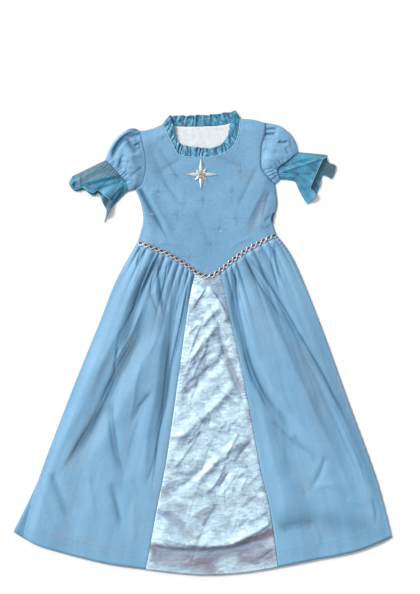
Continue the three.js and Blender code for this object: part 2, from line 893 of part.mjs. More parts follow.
// Round glitter disc on the middle of the star
function starDisc() {
  const sides = 16;
  const points = [];
  const faces = [];
  const cloth = frontUnder(new THREE.Vector2(starCentre.x, starCentre.y)) + clothWall;
  const floor = cloth + trimLift + starEdge + starRidge + layerGap;
  const rings = [
    { radius: 1, height: 0 },
    { radius: 1, height: 0.5 * starDiscHeight },
    { radius: 0.6, height: 0.9 * starDiscHeight },
  ];
  for (const ring of rings) {
    for (let k = 0; k < sides; k += 1) {
      const angle = (2 * Math.PI * k) / sides;
      const radius = starDiscRadius * ring.radius;
      const x = starCentre.x + radius * Math.cos(angle);
      const y = starCentre.y + radius * Math.sin(angle);
      points.push([x, y, floor + ring.height]);
    }
  }
  const under = points.push([starCentre.x, starCentre.y, floor]) - 1;
  const crown = points.push([starCentre.x, starCentre.y, floor + starDiscHeight]) - 1;
  for (let k = 0; k < sides; k += 1) {
    const next = (k + 1) % sides;
    quad(faces, k, next, sides + next, sides + k);
    quad(faces, sides + k, sides + next, 2 * sides + next, 2 * sides + k);
    faces.push([2 * sides + k, 2 * sides + next, crown], [next, k, under]);
  }
  return solid("star_centre", points, faces, colour.glitter, { roughness: 0.5, metalness: 0.5 });
}

const cuffs = {
  left: stepped(seam(elasticLeft), armholeSteps),
  right: stepped(seam(elasticRight), armholeSteps),
};

const dress = new THREE.Group();
dress.add(backBodice(), backSkirt(), frontBodice(), skirtCentre());
dress.add(
  skirtPanel("skirt_front_left", {
    waist: waistBetween(waistFront[0].x, seamX.left),
    hem: seams.hemLeft,
    left: seams.sideLeftSkirt,
    right: seams.satinLeft,
    table: gathersLeft,
    trim: { right: seamGap / 2 },
  }),
  skirtPanel("skirt_front_right", {
    waist: waistBetween(seamX.right, waistFront[waistFront.length - 1].x),
    hem: seams.hemRight,
    left: seams.satinRight,
    right: seams.sideRightSkirt,
    table: gathersRight,
    trim: { left: seamGap / 2 },
  }),
);
dress.add(
  sleeve("sleeve_left", {
    armhole: seams.armholeLeft,
    elastic: cuffs.left,
    top: seam(sleeveTopLeft),
    side: -1,
  }),
  sleeve("sleeve_right", {
    armhole: seams.armholeRight,
    elastic: cuffs.right,
    top: seam(sleeveTopRight),
    side: 1,
  }),
  flounce("cuff_left", {
    elastic: cuffs.left,
    hem: seam(flounceHemLeft),
    under: flounceUnderLeft,
    side: -1,
  }),
  flounce("cuff_right", {
    elastic: cuffs.right,
    hem: seam(flounceHemRight),
    under: flounceUnderRight,
    side: 1,
  }),
);
dress.add(...neckFrills(), waistBraid(), starApplique(), starDisc());

// The origin is under the middle of the whole dress.
const box = new THREE.Box3().setFromObject(dress);
dress.position.set(-(box.min.x + box.max.x) / 2, -(box.min.y + box.max.y) / 2, -box.min.z);

export default dress;
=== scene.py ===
# Child's princess costume dress, laid flat on its back, seen from straight above.
import math
import random

import bmesh
import bpy
import numpy as np
from mathutils import Matrix, Vector
from mathutils.bvhtree import BVHTree


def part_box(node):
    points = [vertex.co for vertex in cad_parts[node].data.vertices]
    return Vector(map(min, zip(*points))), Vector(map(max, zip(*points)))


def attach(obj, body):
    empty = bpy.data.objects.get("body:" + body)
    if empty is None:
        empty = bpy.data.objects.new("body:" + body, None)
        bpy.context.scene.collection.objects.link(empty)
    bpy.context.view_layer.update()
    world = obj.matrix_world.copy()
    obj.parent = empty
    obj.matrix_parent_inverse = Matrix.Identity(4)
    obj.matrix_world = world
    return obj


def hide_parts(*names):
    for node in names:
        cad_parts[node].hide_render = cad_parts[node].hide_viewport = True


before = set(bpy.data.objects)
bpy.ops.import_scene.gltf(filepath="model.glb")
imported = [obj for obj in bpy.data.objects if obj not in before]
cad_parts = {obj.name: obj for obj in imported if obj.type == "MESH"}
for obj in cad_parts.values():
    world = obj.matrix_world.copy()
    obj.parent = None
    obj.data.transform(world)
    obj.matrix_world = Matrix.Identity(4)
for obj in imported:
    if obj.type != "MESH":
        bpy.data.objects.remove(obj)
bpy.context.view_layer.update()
print("frame loaded", len(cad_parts), "nodes")

# Millimetres here have the same zero as the dress's own outlines. The star's place gives the shift.
starPlan = {"x": -3, "y": 381, "up": 35, "down": 32, "left": 34, "right": 37, "diagonal": 19, "notch": 9.5}
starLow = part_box("star_applique")[0] * 1000
shiftX = starLow.x - (starPlan["x"] - starPlan["left"])
shiftY = starLow.y - (starPlan["y"] - starPlan["down"])
mm = 0.001

view = {
    "centreX": 16.7,  # what is in the middle of the picture, mm
    "centreY": 112.2,
    "tall": 1307,  # height of floor that the picture shows, mm
    "distance": 3.4,  # m
}
studio = {
    "floor": (0.87, 0.87, 0.88),
    "floorZ": -0.0004,
    "sky": {"toward": (-0.62, 0.42, 0.66), "dim": 0.12, "bright": 1.1},
    "sun": {"place": (-2.2, 1.5, 2.1), "spread": 13, "strength": 2.75, "tint": (1.0, 0.985, 0.955)},
}


# A point of the plan in mm, at its place in the shared frame
def placed(x, y, z):
    return (x + shiftX) * mm, (y + shiftY) * mm, z * mm


def linked(name, data):
    thing = bpy.data.objects.new(name, data)
    bpy.context.scene.collection.objects.link(thing)
    return thing


def pieceOf(name, bm, paint):
    mesh = bpy.data.meshes.new(name)
    bm.to_mesh(mesh)
    bm.free()
    mesh.materials.append(paint)
    return linked(name, mesh)


def setCamera():
    camera = linked("camera", bpy.data.cameras.new("camera"))
    lens = camera.data
    lens.sensor_fit = "VERTICAL"
    lens.sensor_height = 36
    lens.lens = lens.sensor_height * view["distance"] / (view["tall"] * mm)
    camera.location = placed(view["centreX"], view["centreY"], view["distance"] / mm)
    bpy.context.scene.camera = camera


def setSun(spec):
    light = bpy.data.lights.new("sun", "SUN")
    light.energy = spec["strength"]
    light.angle = math.radians(spec["spread"])
    light.color = spec["tint"]
    lamp = linked("sun", light)
    lamp.location = spec["place"]
    lamp.rotation_euler = (-Vector(spec["place"])).to_track_quat("-Z", "Y").to_euler()


# The sky is brightest towards the sun's side, so that shiny cloth has something to reflect
def setSky(spec):
    world = bpy.data.worlds.new("studio")
    world.use_nodes = True
    tree = world.node_tree
    ray = add(tree, "TexCoord").outputs["Generated"]
    facing = vectorCalc(tree, "DOT_PRODUCT", ray, spec["toward"], "Value")
    strength = remap(tree, facing, -0.1, 0.95, spec["dim"], spec["bright"])
    fill(tree, tree.nodes["Background"], {"Color": (1, 1, 1), "Strength": strength})
    bpy.context.scene.world = world


def setStudio():
    bpy.context.scene.view_settings.view_transform = "Standard"
    setSky(studio["sky"])
    setSun(studio["sun"])
    bm = bmesh.new()
    below = Matrix.Translation((0, 0, studio["floorZ"]))
    bmesh.ops.create_grid(bm, x_segments=2, y_segments=2, size=6, matrix=below)
    paint, tree, shader, _ = newPaint("floor")
    fill(tree, shader, {"Base Color": studio["floor"], "Roughness": 0.9})
    pieceOf("floor", bm, paint)


# Every node socket is joined or filled through here
def fill(tree, node, sockets):
    for key, value in sockets.items():
        socket = node.inputs[key]
        if isinstance(value, bpy.types.NodeSocket):
            tree.links.new(value, socket)
        elif socket.type == "RGBA":
            socket.default_value = (*value, 1)
        else:
            socket.default_value = value
    return node


def add(tree, kind, sockets=None, **settings):
    node = tree.nodes.new("ShaderNode" + kind)
    for key, value in settings.items():
        setattr(node, key, value)
    return fill(tree, node, sockets or {})


def calc(tree, operation, a, b=0.0):
    return add(tree, "Math", {0: a, 1: b}, operation=operation).outputs[0]


def vectorCalc(tree, operation, a, b=(0, 0, 0), output="Vector"):
    return add(tree, "VectorMath", {0: a, 1: b}, operation=operation).outputs[output]


def blend(tree, factor, a, b):
    return add(tree, "Mix", {0: factor, 6: a, 7: b}, data_type="RGBA").outputs[2]


def noise(tree, vector, scale, detail=3.0, roughness=0.55):
    settings = {"Vector": vector, "Scale": scale, "Detail": detail, "Roughness": roughness}
    return add(tree, "TexNoise", settings).outputs[0]


def flatCells(tree, vector, apart, randomness=1.0):
    settings = {"Vector": vector, "Scale": 1 / apart, "Randomness": randomness}
    return add(tree, "TexVoronoi", settings, voronoi_dimensions="2D").outputs


def remap(tree, value, low, high, toLow=0.0, toHigh=1.0):
    settings = {"Value": value, "From Min": low, "From Max": high, "To Min": toLow, "To Max": toHigh}
    return add(tree, "MapRange", settings).outputs[0]


def bump(tree, height, strength, distance, normal=None):
    settings = {"Height": height, "Strength": strength, "Distance": distance}
    if normal:
        settings["Normal"] = normal
    return add(tree, "Bump", settings).outputs[0]


# A tone kept on the mesh, point by point
def attribute(tree, name, strength=1.0):
    return calc(tree, "MULTIPLY", add(tree, "Attribute", attribute_name=name).outputs["Fac"], strength)


# The cloth's own flat sheet, drawn out along its length
def ownSheet(tree, scale):
    own = add(tree, "UVMap", uv_map="cloth").outputs[0]
    return add(tree, "Mapping", {"Vector": own, "Scale": (1, scale, 1)}).outputs[0]


def newPaint(name):
    paint = bpy.data.materials.new(name)
    paint.use_nodes = True
    tree = paint.node_tree
    return paint, tree, tree.nodes["Principled BSDF"], add(tree, "TexCoord").outputs["Object"]


# Threads across and along, as a height for bump
def weave(tree, vector, pitch):
    bands = 0.314 / pitch
    across = add(tree, "TexWave", {"Vector": vector, "Scale": bands}, bands_direction="X").outputs[1]
    along = add(tree, "TexWave", {"Vector": vector, "Scale": bands}, bands_direction="Y").outputs[1]
    return calc(tree, "MULTIPLY", across, along)


# Starbursts of eight rays and small dots, as the share of print at a point
def starPrint(tree, place, spec):
    spot = vectorCalc(tree, "MULTIPLY", place, (1, 1, 0))
    burst = flatCells(tree, spot, spec["apart"], 0.7)
    away = vectorCalc(tree, "SUBTRACT", spot, burst["Position"])
    part = add(tree, "SeparateXYZ", {0: away}).outputs
    radius = vectorCalc(tree, "LENGTH", away, output="Value")
    turn = calc(tree, "DIVIDE", calc(tree, "ARCTAN2", part[1], part[0]), math.pi / 4)
    ray = calc(tree, "ROUND", turn)
    offset = calc(tree, "ABSOLUTE", calc(tree, "SUBTRACT", turn, ray))
    beside = calc(tree, "MULTIPLY", calc(tree, "MULTIPLY", offset, math.pi / 4), radius)
    odd = calc(tree, "ABSOLUTE", calc(tree, "MODULO", ray, 2.0))
    reach = remap(tree, odd, 0, 1, spec["longRay"], spec["shortRay"])
    taper = calc(tree, "SUBTRACT", 1.0, calc(tree, "DIVIDE", radius, reach))
    width = calc(tree, "MULTIPLY", taper, spec["rayWidth"])
    lines = remap(tree, calc(tree, "SUBTRACT", beside, width), 0, -0.3 * spec["rayWidth"])
    dots = flatCells(tree, spot, spec["dotsApart"])
    apart = vectorCalc(tree, "SUBTRACT", spot, dots["Position"])
    distance = vectorCalc(tree, "LENGTH", apart, output="Value")
    chosen = calc(tree, "GREATER_THAN", add(tree, "SeparateXYZ", {0: dots["Color"]}).outputs[0], 0.5)
    dot = remap(tree, distance, spec["dotRadius"], 0.6 * spec["dotRadius"])
    return lines, calc(tree, "MULTIPLY", dot, chosen)


blueCloth = {
    "light": (0.186, 0.395, 0.600),
    "deep": (0.138, 0.330, 0.530),
    "pale": (0.25, 0.48, 0.70),
    # painted grey sheen in some folds, then painted shade in the creases and along seams
    "paintedSheenShade": (0.215, 0.295, 0.385),  # grey sheen in some folds
    "crease": (0.018, 0.104, 0.198),
    "mottle": (0.10, 0.22, 0.37),
    "fleck": (0.09, 0.20, 0.34),
    "inside": (0.80, 0.83, 0.86),
    "insideDeep": (0.72, 0.76, 0.80),
    "print": (0.085, 0.200, 0.340),
    "glint": (0.30, 0.44, 0.56),
    "threads": 0.0007,
    "grain": {"cloud": 7, "mottle": 120, "fine": 900, "streak": 15, "fibre": 48, "worn": 150, "glint": 90},
    "tones": {"mottle": 0.22, "fleck": 0.14, "paintedSheenShade": 0.32, "pale": 0.48, "crease": 0.85, "dots": 0.7},
    "burst": {
        "apart": 0.060,
        "longRay": 0.030,
        "shortRay": 0.015,
        "rayWidth": 0.0017,
        "dotsApart": 0.019,
        "dotRadius": 0.0016,
    },
}


# Long soft streaks of painted sheen and painted light follow the cloth's own length, as where gathers run out;
# the mesh attributes add painted sheen and painted shade
def clothPaint(name, ends=("light", "deep"), printed=False, streaked=False, paler=0.0):
    paint, tree, shader, place = newPaint(name)
    grain, tones = blueCloth["grain"], blueCloth["tones"]
    cloudy = remap(tree, noise(tree, place, grain["cloud"], 4), 0.35, 0.65)
    mottled = noise(tree, place, grain["mottle"], 4, 0.65)
    fine = noise(tree, place, grain["fine"], 2)
    color = blend(tree, cloudy, blueCloth[ends[0]], blueCloth[ends[1]])
    color = blend(tree, remap(tree, mottled, 0.38, 0.68, 0, tones["mottle"]), color, blueCloth["mottle"])
    color = blend(tree, remap(tree, fine, 0.3, 0.7, 0, tones["fleck"]), color, blueCloth["fleck"])
    # painted grey sheen from the mesh attribute
    paintedSheenShade = calc(tree, "MULTIPLY", attribute(tree, "paintedSheenShade"), remap(tree, mottled, 0.3, 0.65, 0.55, 1.0))
    color = blend(tree, paintedSheenShade, color, blueCloth["paintedSheenShade"])
    if streaked:
        broad = noise(tree, ownSheet(tree, 0.14), grain["streak"], 3, 0.5)
        color = blend(tree, remap(tree, broad, 0.50, 0.70, 0, tones["paintedSheenShade"]), color, blueCloth["paintedSheenShade"])
        color = blend(tree, remap(tree, broad, 0.58, 0.34, 0, tones["pale"]), color, blueCloth["pale"])
    color = blend(tree, paler, color, blueCloth["pale"])
    # painted shade in creases and along seams, from the mesh attribute
    color = blend(tree, attribute(tree, "shade", tones["crease"]), color, blueCloth["crease"])
    if printed:
        lines, spots = starPrint(tree, place, blueCloth["burst"])
        worn = remap(tree, noise(tree, place, grain["worn"], 2), 0.36, 0.60, 0.12, 0.76)
        shiny = remap(tree, noise(tree, place, grain["glint"], 1), 0.62, 0.70)
        ink = blend(tree, shiny, blueCloth["print"], blueCloth["glint"])
        color = blend(tree, calc(tree, "MULTIPLY", lines, worn), color, ink)
        color = blend(tree, calc(tree, "MULTIPLY", spots, tones["dots"]), color, blueCloth["print"])
    normal = bump(tree, mottled, 0.45, 0.0012)
    if streaked:
        fibres = noise(tree, ownSheet(tree, 0.09), grain["fibre"], 3, 0.5)
        normal = bump(tree, fibres, 0.2, 0.003, normal)
    woven = calc(tree, "MULTIPLY", weave(tree, place, blueCloth["threads"]), 0.5)
    threads = calc(tree, "ADD", woven, fine)
    surface = {
        "Base Color": color,
        "Normal": bump(tree, threads, 0.35, 0.0003, normal),
        "Roughness": remap(tree, fine, 0.3, 0.7, 0.50, 0.66),
        "Sheen Weight": 0.06,
        "Sheen Roughness": 0.4,
    }
    fill(tree, shader, surface)
    return paint


satin = {
    # white is a painted highlight, steel a painted shade
    "ice": (0.41, 0.57, 0.72),
    "steelShade": (0.27, 0.37, 0.52),
    "lilac": (0.215, 0.205, 0.265),
    "highlightWhite": (0.54, 0.74, 0.84),
    "toward": (-0.62, 0.42, 0.66),
    "lean": -50,  # degrees that the creases are turned by
    "stretch": (0.38, 1, 0),
    "threads": 0.0005,
    "grain": {"wander": 45, "rumple": 330, "patch": 42, "fine": 1400},
    "bend": (0.008, 0.008, 0),  # how far the wandering bends the creases, m
    "facets": [(0.016, 0.85), (0.0065, 0.85), (0.0032, 0.7)],  # cell size in m and strength
}


# Height of crumpled facets: every cell is a plane with its own lean
def facetHeight(tree, spot, size):
    cells = flatCells(tree, spot, size)
    away = vectorCalc(tree, "SUBTRACT", spot, cells["Position"])
    lean = vectorCalc(tree, "SUBTRACT", cells["Color"], (0.5, 0.5, 0.5))
    return vectorCalc(tree, "DOT_PRODUCT", away, lean, "Value")


# Painted light and shade on the satin: pale and white where its crumpled facets face the light, steel where
# they turn away, and lilac grey and steel where the mesh attributes paint sheen and shade
def satinPaint():
    paint, tree, shader, place = newPaint("paleSatin")
    grain = satin["grain"]
    wander = add(tree, "TexNoise", {"Vector": place, "Scale": grain["wander"], "Detail": 3.0}).outputs["Color"]
    bent = vectorCalc(tree, "ADD", vectorCalc(tree, "MULTIPLY", wander, satin["bend"]), place)
    drawn = {"Vector": bent, "Rotation": (0, 0, math.radians(satin["lean"])), "Scale": satin["stretch"]}
    stretched = add(tree, "Mapping", drawn).outputs[0]
    crease = calc(tree, "MULTIPLY", noise(tree, place, grain["rumple"], 3, 0.7), 0.0010)
    for size, share in satin["facets"]:
        facet = calc(tree, "MULTIPLY", facetHeight(tree, stretched, size), share)
        crease = calc(tree, "ADD", crease, facet)
    crumple = bump(tree, crease, 0.42, 1.0)
    patchy = noise(tree, place, grain["patch"], 3)
    # painted light: facets that face the light are paler, those turned away steel
    facing = vectorCalc(tree, "DOT_PRODUCT", crumple, satin["toward"], "Value")
    facing = calc(tree, "ADD", facing, remap(tree, patchy, 0, 1, -0.15, 0.15))
    color = blend(tree, remap(tree, facing, 0.32, 0.56), satin["steelShade"], satin["ice"])
    color = blend(tree, remap(tree, facing, 0.60, 0.80), color, satin["highlightWhite"])
    # painted lilac sheen and shade, then painted steel shade, from the mesh attributes
    color = blend(tree, attribute(tree, "paintedSheenShade"), color, satin["lilac"])
    color = blend(tree, attribute(tree, "shade", 0.8), color, satin["steelShade"])
    woven = weave(tree, place, satin["threads"])
    threads = calc(tree, "ADD", noise(tree, place, grain["fine"], 2), woven)
    surface = {
        "Base Color": color,
        "Normal": bump(tree, threads, 0.12, 0.0002, crumple),
        "Roughness": remap(tree, patchy, 0.35, 0.65, 0.30, 0.42),
        "Metallic": 0.1,
        "Specular IOR Level": 0.5,
    }
    fill(tree, shader, surface)
    return paint


organza = {
    "teal": (0.034, 0.288, 0.480),
    "shade": (0.024, 0.175, 0.33),
    "sheer": (0.142, 0.315, 0.445),
    "double": (0.075, 0.150, 0.200),
    # inside and slate: painted shade on the inner faces and in the layers of the organza
    "inside": (0.020, 0.085, 0.140),
    "slate": (0.070, 0.110, 0.160),
    "deepest": (0.015, 0.10, 0.17),
    "bright": (0.12, 0.42, 0.62),
    "thread": (0.24, 0.52, 0.66),
    "threads": 0.0009,
    "grain": {"cloud": 45, "crush": 150, "streak": 60, "layer": 170},
}


# The frill is crushed all over, with random patches of painted glint and painted shade; a flounce has streaks
# of painted light and shade, its attribute "sheer" marks the single layer, and its attribute "shade" is
# painted shade
def organzaPaint(name, alpha, ends=("teal", "shade"), ruffled=False, single="sheer"):
    paint, tree, shader, place = newPaint(name)
    grain = organza["grain"]
    cloudy = remap(tree, noise(tree, place, grain["cloud"], 3), 0.4, 0.62)
    color = blend(tree, cloudy, organza[ends[0]], organza[ends[1]])
    if ruffled:
        # random patches of painted glint and painted shade
        crush = noise(tree, ownSheet(tree, 0.8), grain["crush"], 3, 0.65)
        color = blend(tree, remap(tree, crush, 0.52, 0.64), color, organza["bright"])
        color = blend(tree, remap(tree, crush, 0.52, 0.40), color, organza["deepest"])
    else:
        # streaks of painted light and painted shade along the gathers
        streaks = noise(tree, ownSheet(tree, 0.3), grain["streak"], 3, 0.6)
        color = blend(tree, remap(tree, streaks, 0.53, 0.68, 0, 0.55), color, organza["bright"])
        color = blend(tree, remap(tree, streaks, 0.47, 0.34, 0, 0.8), color, organza["inside"])
        color = blend(tree, attribute(tree, "shade", 0.7), color, organza["inside"])
    threads = weave(tree, place, organza["threads"])
    color = blend(tree, remap(tree, threads, 0, 1, 0, 0.25), color, organza["thread"])
    if not ruffled:
        sheer = attribute(tree, "sheer")
        layered = remap(tree, noise(tree, place, grain["layer"], 4, 0.7), 0.36, 0.66, 0, 0.75)
        color = blend(tree, sheer, color, blend(tree, layered, organza[single], organza["double"]))
        alpha = remap(tree, sheer, 0, 1, alpha, 0.75 * alpha)
    surface = {
        "Base Color": color,
        "Normal": bump(tree, threads, 0.25, 0.0003),
        "Alpha": alpha,
        "Roughness": 0.36,
        "Sheen Weight": 0.25,
    }
    fill(tree, shader, surface)
    return paint


def threadPaint(name, low, high, roughness=0.4, metallic=0.0):
    paint, tree, shader, place = newPaint(name)
    grain = noise(tree, place, 1100, 2)
    surface = {
        "Base Color": blend(tree, remap(tree, grain, 0.35, 0.65), low, high),
        "Normal": bump(tree, grain, 0.5, 0.0003),
        "Roughness": roughness,
        "Metallic": metallic,
    }
    fill(tree, shader, surface)
    return paint


glitter = {"dark": (0.28, 0.28, 0.25), "light": (0.80, 0.80, 0.74), "flakes": 1300}


def glitterPaint():
    paint, tree, shader, place = newPaint("glitter")
    flakes = add(tree, "TexVoronoi", {"Vector": place, "Scale": glitter["flakes"]})
    shade = add(tree, "SeparateXYZ", {0: flakes.outputs["Color"]}).outputs[0]
    surface = {
        "Base Color": blend(tree, shade, glitter["dark"], glitter["light"]),
        "Normal": bump(tree, shade, 0.9, 0.0006),
        "Metallic": 0.75,
        "Roughness": 0.3,
    }
    fill(tree, shader, surface)
    return paint


paints = {
    "blue": clothPaint("blueCloth"),
    "skirt": clothPaint("skirtCloth", streaked=True, paler=0.06),
    "sleeve": clothPaint("sleeveCloth", printed=True, paler=0.26),
    "printed": clothPaint("printedCloth", printed=True),
    "inside": clothPaint("clothInside", ("inside", "insideDeep")),
    "satin": satinPaint(),
    "organza": organzaPaint("organza", 0.90),
    # darker inner faces: painted shade inside the flounces
    "organzaShadedInside": organzaPaint("organzaShadedInside", 0.90, ("shade", "inside"), single="slate"),
    "frill": organzaPaint("frillOrganza", 0.92, ruffled=True),
    "edge": threadPaint("overlock", (0.16, 0.42, 0.56), (0.34, 0.60, 0.72)),
    "stitch": threadPaint("stitch", (0.10, 0.22, 0.37), (0.17, 0.33, 0.50)),
    "seamShade": threadPaint("seamShade", (0.045, 0.12, 0.22), (0.09, 0.20, 0.33), 0.7),
    # dark colour for painted shade in a side seam gap
    "gap": threadPaint("seamGapShade", (0.012, 0.035, 0.085), (0.03, 0.06, 0.12), 0.8),
    "satinStitch": threadPaint("satinStitch", (0.30, 0.36, 0.46), (0.42, 0.50, 0.60)),
    # paler than the cloth: a painted highlight on the rolled neck edge
    "neckEdgeHighlight": threadPaint("neckEdgeHighlight", (0.26, 0.48, 0.68), (0.36, 0.60, 0.78)),
    "braid": threadPaint("silverBraid", (0.28, 0.29, 0.32), (0.74, 0.74, 0.76), 0.34, 0.6),
    # dark colour for painted shade in the braid's gaps
    "braidGapShade": threadPaint("braidGapShade", (0.04, 0.05, 0.09), (0.13, 0.15, 0.21), 0.7),
    "star": threadPaint("silverCloth", (0.66, 0.67, 0.68), (0.92, 0.92, 0.92), 0.24, 0.9),
    "glitter": glitterPaint(),
}
print("materials made", len(paints))
setCamera()
setStudio()
print("camera, lights and floor set")


# A smooth curve through points, walked by its share of the whole length
def seam(points):
    rows = np.array(points, float)
    count = len(rows)
    steps = np.linspace(0, count - 1, 40 * count)
    first = np.minimum(steps.astype(int), count - 2)
    t = (steps - first)[:, None]
    before, start = rows[np.maximum(first - 1, 0)], rows[first]
    end, after = rows[first + 1], rows[np.minimum(first + 2, count - 1)]
    leave, arrive = (end - before) / 2, (after - start) / 2
    line = (2 * start - 2 * end + leave + arrive) * t**3
    line += (-3 * start + 3 * end - 2 * leave - arrive) * t**2 + leave * t + start
    length = np.concatenate([[0], np.cumsum(np.hypot(*np.diff(line, axis=0).T))])
    share = length / length[-1]
    return lambda s: np.stack([np.interp(s, share, line[:, 0]), np.interp(s, share, line[:, 1])], -1)


# Several curves as one, each up to its share of the whole
def joined(*pieces):
    def walk(s):
        s = np.asarray(s, float)
        result = np.zeros(s.shape + (2,))
        start = 0.0
        for curve, upTo in pieces:
            inside = (s >= start) if upTo == 1 else (s >= start) & (s < upTo)
            local = np.clip((s - start) / (upTo - start), 0, 1)
            result = np.where(inside[..., None], curve(local), result)
            start = upTo
        return result

    return walk


def reversedSeam(curve):
    return lambda s: curve(1 - np.asarray(s, float))


def between(curve, start, end):
    return lambda s: curve(start + (end - start) * np.asarray(s, float))


def straight(start, end):
    return lambda s: start + (end - start) * np.asarray(s, float)[..., None]


# A flat piece between four curves
def patch(bottom, top, left, right):
    corners = [curve(np.array(share)) for curve in (bottom, top) for share in (0.0, 1.0)]

    def place(u, v):
        across, along = u[:, None], v[:, None]
        flat = (1 - along) * bottom(u) + along * top(u) + (1 - across) * left(v) + across * right(v)
        flat -= (1 - across) * (1 - along) * corners[0] + across * (1 - along) * corners[1]
        flat -= (1 - across) * along * corners[2] + across * along * corners[3]
        return flat

    return place


def smooth(value, low, high):
    t = np.clip((value - low) / (high - low), 0, 1)
    return t * t * (3 - 2 * t)


# 1 on a line, and next to nothing at twice its width
def near(distance, width, power=2):
    return np.exp(-((distance / width) ** power))


seams = {
    "sideLeftBodice": seam([(-143, 233), (-136, 255), (-130, 284), (-136, 321), (-148, 349)]),
    "armholeLeft": seam(
        [(-148, 349), (-134, 362), (-126, 392), (-127, 426), (-133, 451), (-138, 477)]
    ),
    "sideRightBodice": seam([(162, 249), (155, 272), (157, 290), (164, 317), (159, 360)]),
    "armholeRight": seam(
        [(159, 360), (140, 378), (129, 397), (128, 422), (130, 447), (136, 467), (139, 495)]
    ),
    "shoulderLeft": seam([(-138, 477), (-115, 481), (-88, 492)]),
    "shoulderRight": seam([(84, 504), (112, 502), (139, 495)]),
    "neckFront": seam(
        [(-88, 492), (-70, 457), (-55, 428), (-40, 421), (-8, 419)]
        + [(29, 421), (62, 437), (77, 462), (84, 504)]
    ),
    "neckBack": seam([(-88, 492), (-50, 488), (0, 488), (48, 492), (84, 504)]),
    "frillFrontFree": seam(
        [(-72, 511), (-61, 482), (-52, 452), (-14, 442), (28, 442), (51, 459), (58, 480), (72, 522)]
    ),
    "frillBackFree": seam([(-72, 511), (-30, 512), (20, 514), (72, 522)]),
    "waistFront": seam(
        [(-143, 233), (-82, 210), (-44, 189), (-16, 168), (8, 159)]
        + [(30, 165), (85, 208), (133, 236), (162, 249)]
    ),
    "waistBack": seam([(-143, 233), (10, 236), (162, 249)]),
    "sideLeftSkirt": seam(
        [(-143, 233), (-189, 150), (-224, 62), (-295, -114), (-361, -290), (-383, -366), (-394, -415)]
    ),
    "sideLeftSkirtBack": seam(
        [(-143, 233), (-189, 150), (-224, 62), (-295, -114), (-361, -290), (-416, -405)]
    ),
    "sideRightSkirt": seam([(162, 249), (200, 194), (255, 62), (319, -114), (383, -290), (416, -416)]),
    "satinLeft": seam([(-16, 168), (-31, 92), (-51, -53), (-78, -241), (-99, -349), (-124, -486)]),
    "satinRight": seam([(38, 171), (58, 80), (90, -64), (129, -271), (149, -356), (167, -481)]),
    "hemLeft": seam([(-394, -415), (-356, -436), (-224, -471), (-124, -486)]),
    "hemLeftBack": seam([(-416, -405), (-356, -436), (-224, -471), (-124, -486)]),
    "hemCentre": seam([(-124, -486), (-60, -494), (10, -498), (90, -493), (167, -481)]),
    "hemRight": seam([(167, -481), (238, -467), (337, -447), (416, -416)]),
    "sleeveTopLeft": seam([(-138, 477), (-150, 483), (-167, 479), (-187, 463), (-203, 441), (-214, 413)]),
    "elasticLeft": seam([(-214, 413), (-199, 400), (-183, 382), (-169, 366), (-163, 345)]),
    "sleeveTopRight": seam([(139, 495), (158, 492), (175, 486), (194, 470), (206, 449), (210, 431)]),
    "elasticRight": seam([(210, 431), (188, 413), (165, 394), (170, 371)]),
    "flounceHemLeft": seam(
        [(-286, 378), (-293, 361), (-280, 345), (-259, 347), (-241, 334)]
        + [(-228, 340), (-219, 319), (-211, 301), (-216, 277)]
    ),
    "flounceHemRight": seam(
        [(273, 425), (279, 408), (294, 400), (286, 373), (266, 379), (257, 350), (242, 325), (230, 317)]
    ),
}


# Height of the front, mm above the floor
body = {
    "wall": 1.6,
    "rest": 1.9,  # under side of the front where it touches the back
    "loft": 4.2,
    "foldGain": 1.35,
    "creaseGain": 1.35,
    "steep": 0.6,
    "least": -0.4,  # the creases stop here, above the back
    "edgeRound": 26,
    "edgeDrop": 1.2,
    "wander": 3.0,
    "cloth": 0.55,  # real cloth thickness that shows
}
foldColumns = ("fromX", "fromY", "bendX", "bendY", "toX", "toY", "rise", "left", "right")
mainFolds = [
    (-134, 345, -112, 300, -84, 238, -2.6, 9, 14),
    (-118, 350, -96, 300, -66, 246, 2.2, 16, 10),
    (-122, 452, -88, 370, -30, 290, -2, 15, 12),
    (154, 350, 126, 318, 106, 254, -2, 12, 16),
    (-122, 196, -172, 70, -268, -130, 3.6, 14, 34),
    (-99, 200, -142, 84, -190, -24, -3.4, 10, 12),
    (-118, 100, -234, -176, -310, -272, -4.4, 30, 10),
    (-150, 100, -246, -110, -338, -250, 2.2, 26, 24),
    (-84, 40, -150, -90, -262, -270, 2.4, 30, 22),
    (-90, 196, -104, 112, -74, 74, -3, 9, 9),
    (-60, 176, -64, 0, -94, -204, -2.8, 10, 14),
    (-80, 60, -104, -90, -140, -330, 3, 14, 26),
    (-204, -110, -196, -220, -168, -292, -2.4, 14, 10),
    (-116, -100, -134, -124, -160, -170, -2, 12, 10),
    (-200, -292, -192, -350, -174, -404, -1.8, 14, 10),
    (-334, -268, -312, -330, -284, -392, -1.8, 16, 10),
    (112, 206, 226, -8, 378, -360, -3.2, 10, 18),
    (132, 196, 250, -4, 392, -350, 2.4, 22, 10),
    (104, 160, 196, -30, 344, -356, 4, 14, 46),
    (62, 168, 82, -70, 214, -206, -3.2, 16, 10),
    (82, 150, 104, -60, 250, -200, 3, 26, 10),
    (126, -120, 160, -250, 196, -420, 2.6, 34, 16),
    (196, -190, 230, -226, 262, -262, -1.6, 12, 16),
    (168, -396, 214, -376, 262, -384, -2.2, 16, 16),
    (-8, 40, 20, 74, 46, 92, 2.6, 12, 9),
    (-44, -40, 0, 0, 40, 56, 2.8, 12, 9),
    (-50, -120, 6, -60, 70, 10, -2.4, 12, 12),
    (-66, -214, 10, -150, 84, -66, 3, 16, 11),
    (-20, -300, 40, -230, 110, -190, 2.8, 14, 12),
    (-92, -330, -20, -300, 30, -220, -2.4, 14, 12),
    (-112, -424, 20, -456, 160, -390, 3.4, 20, 14),
]
foldSteps = 14
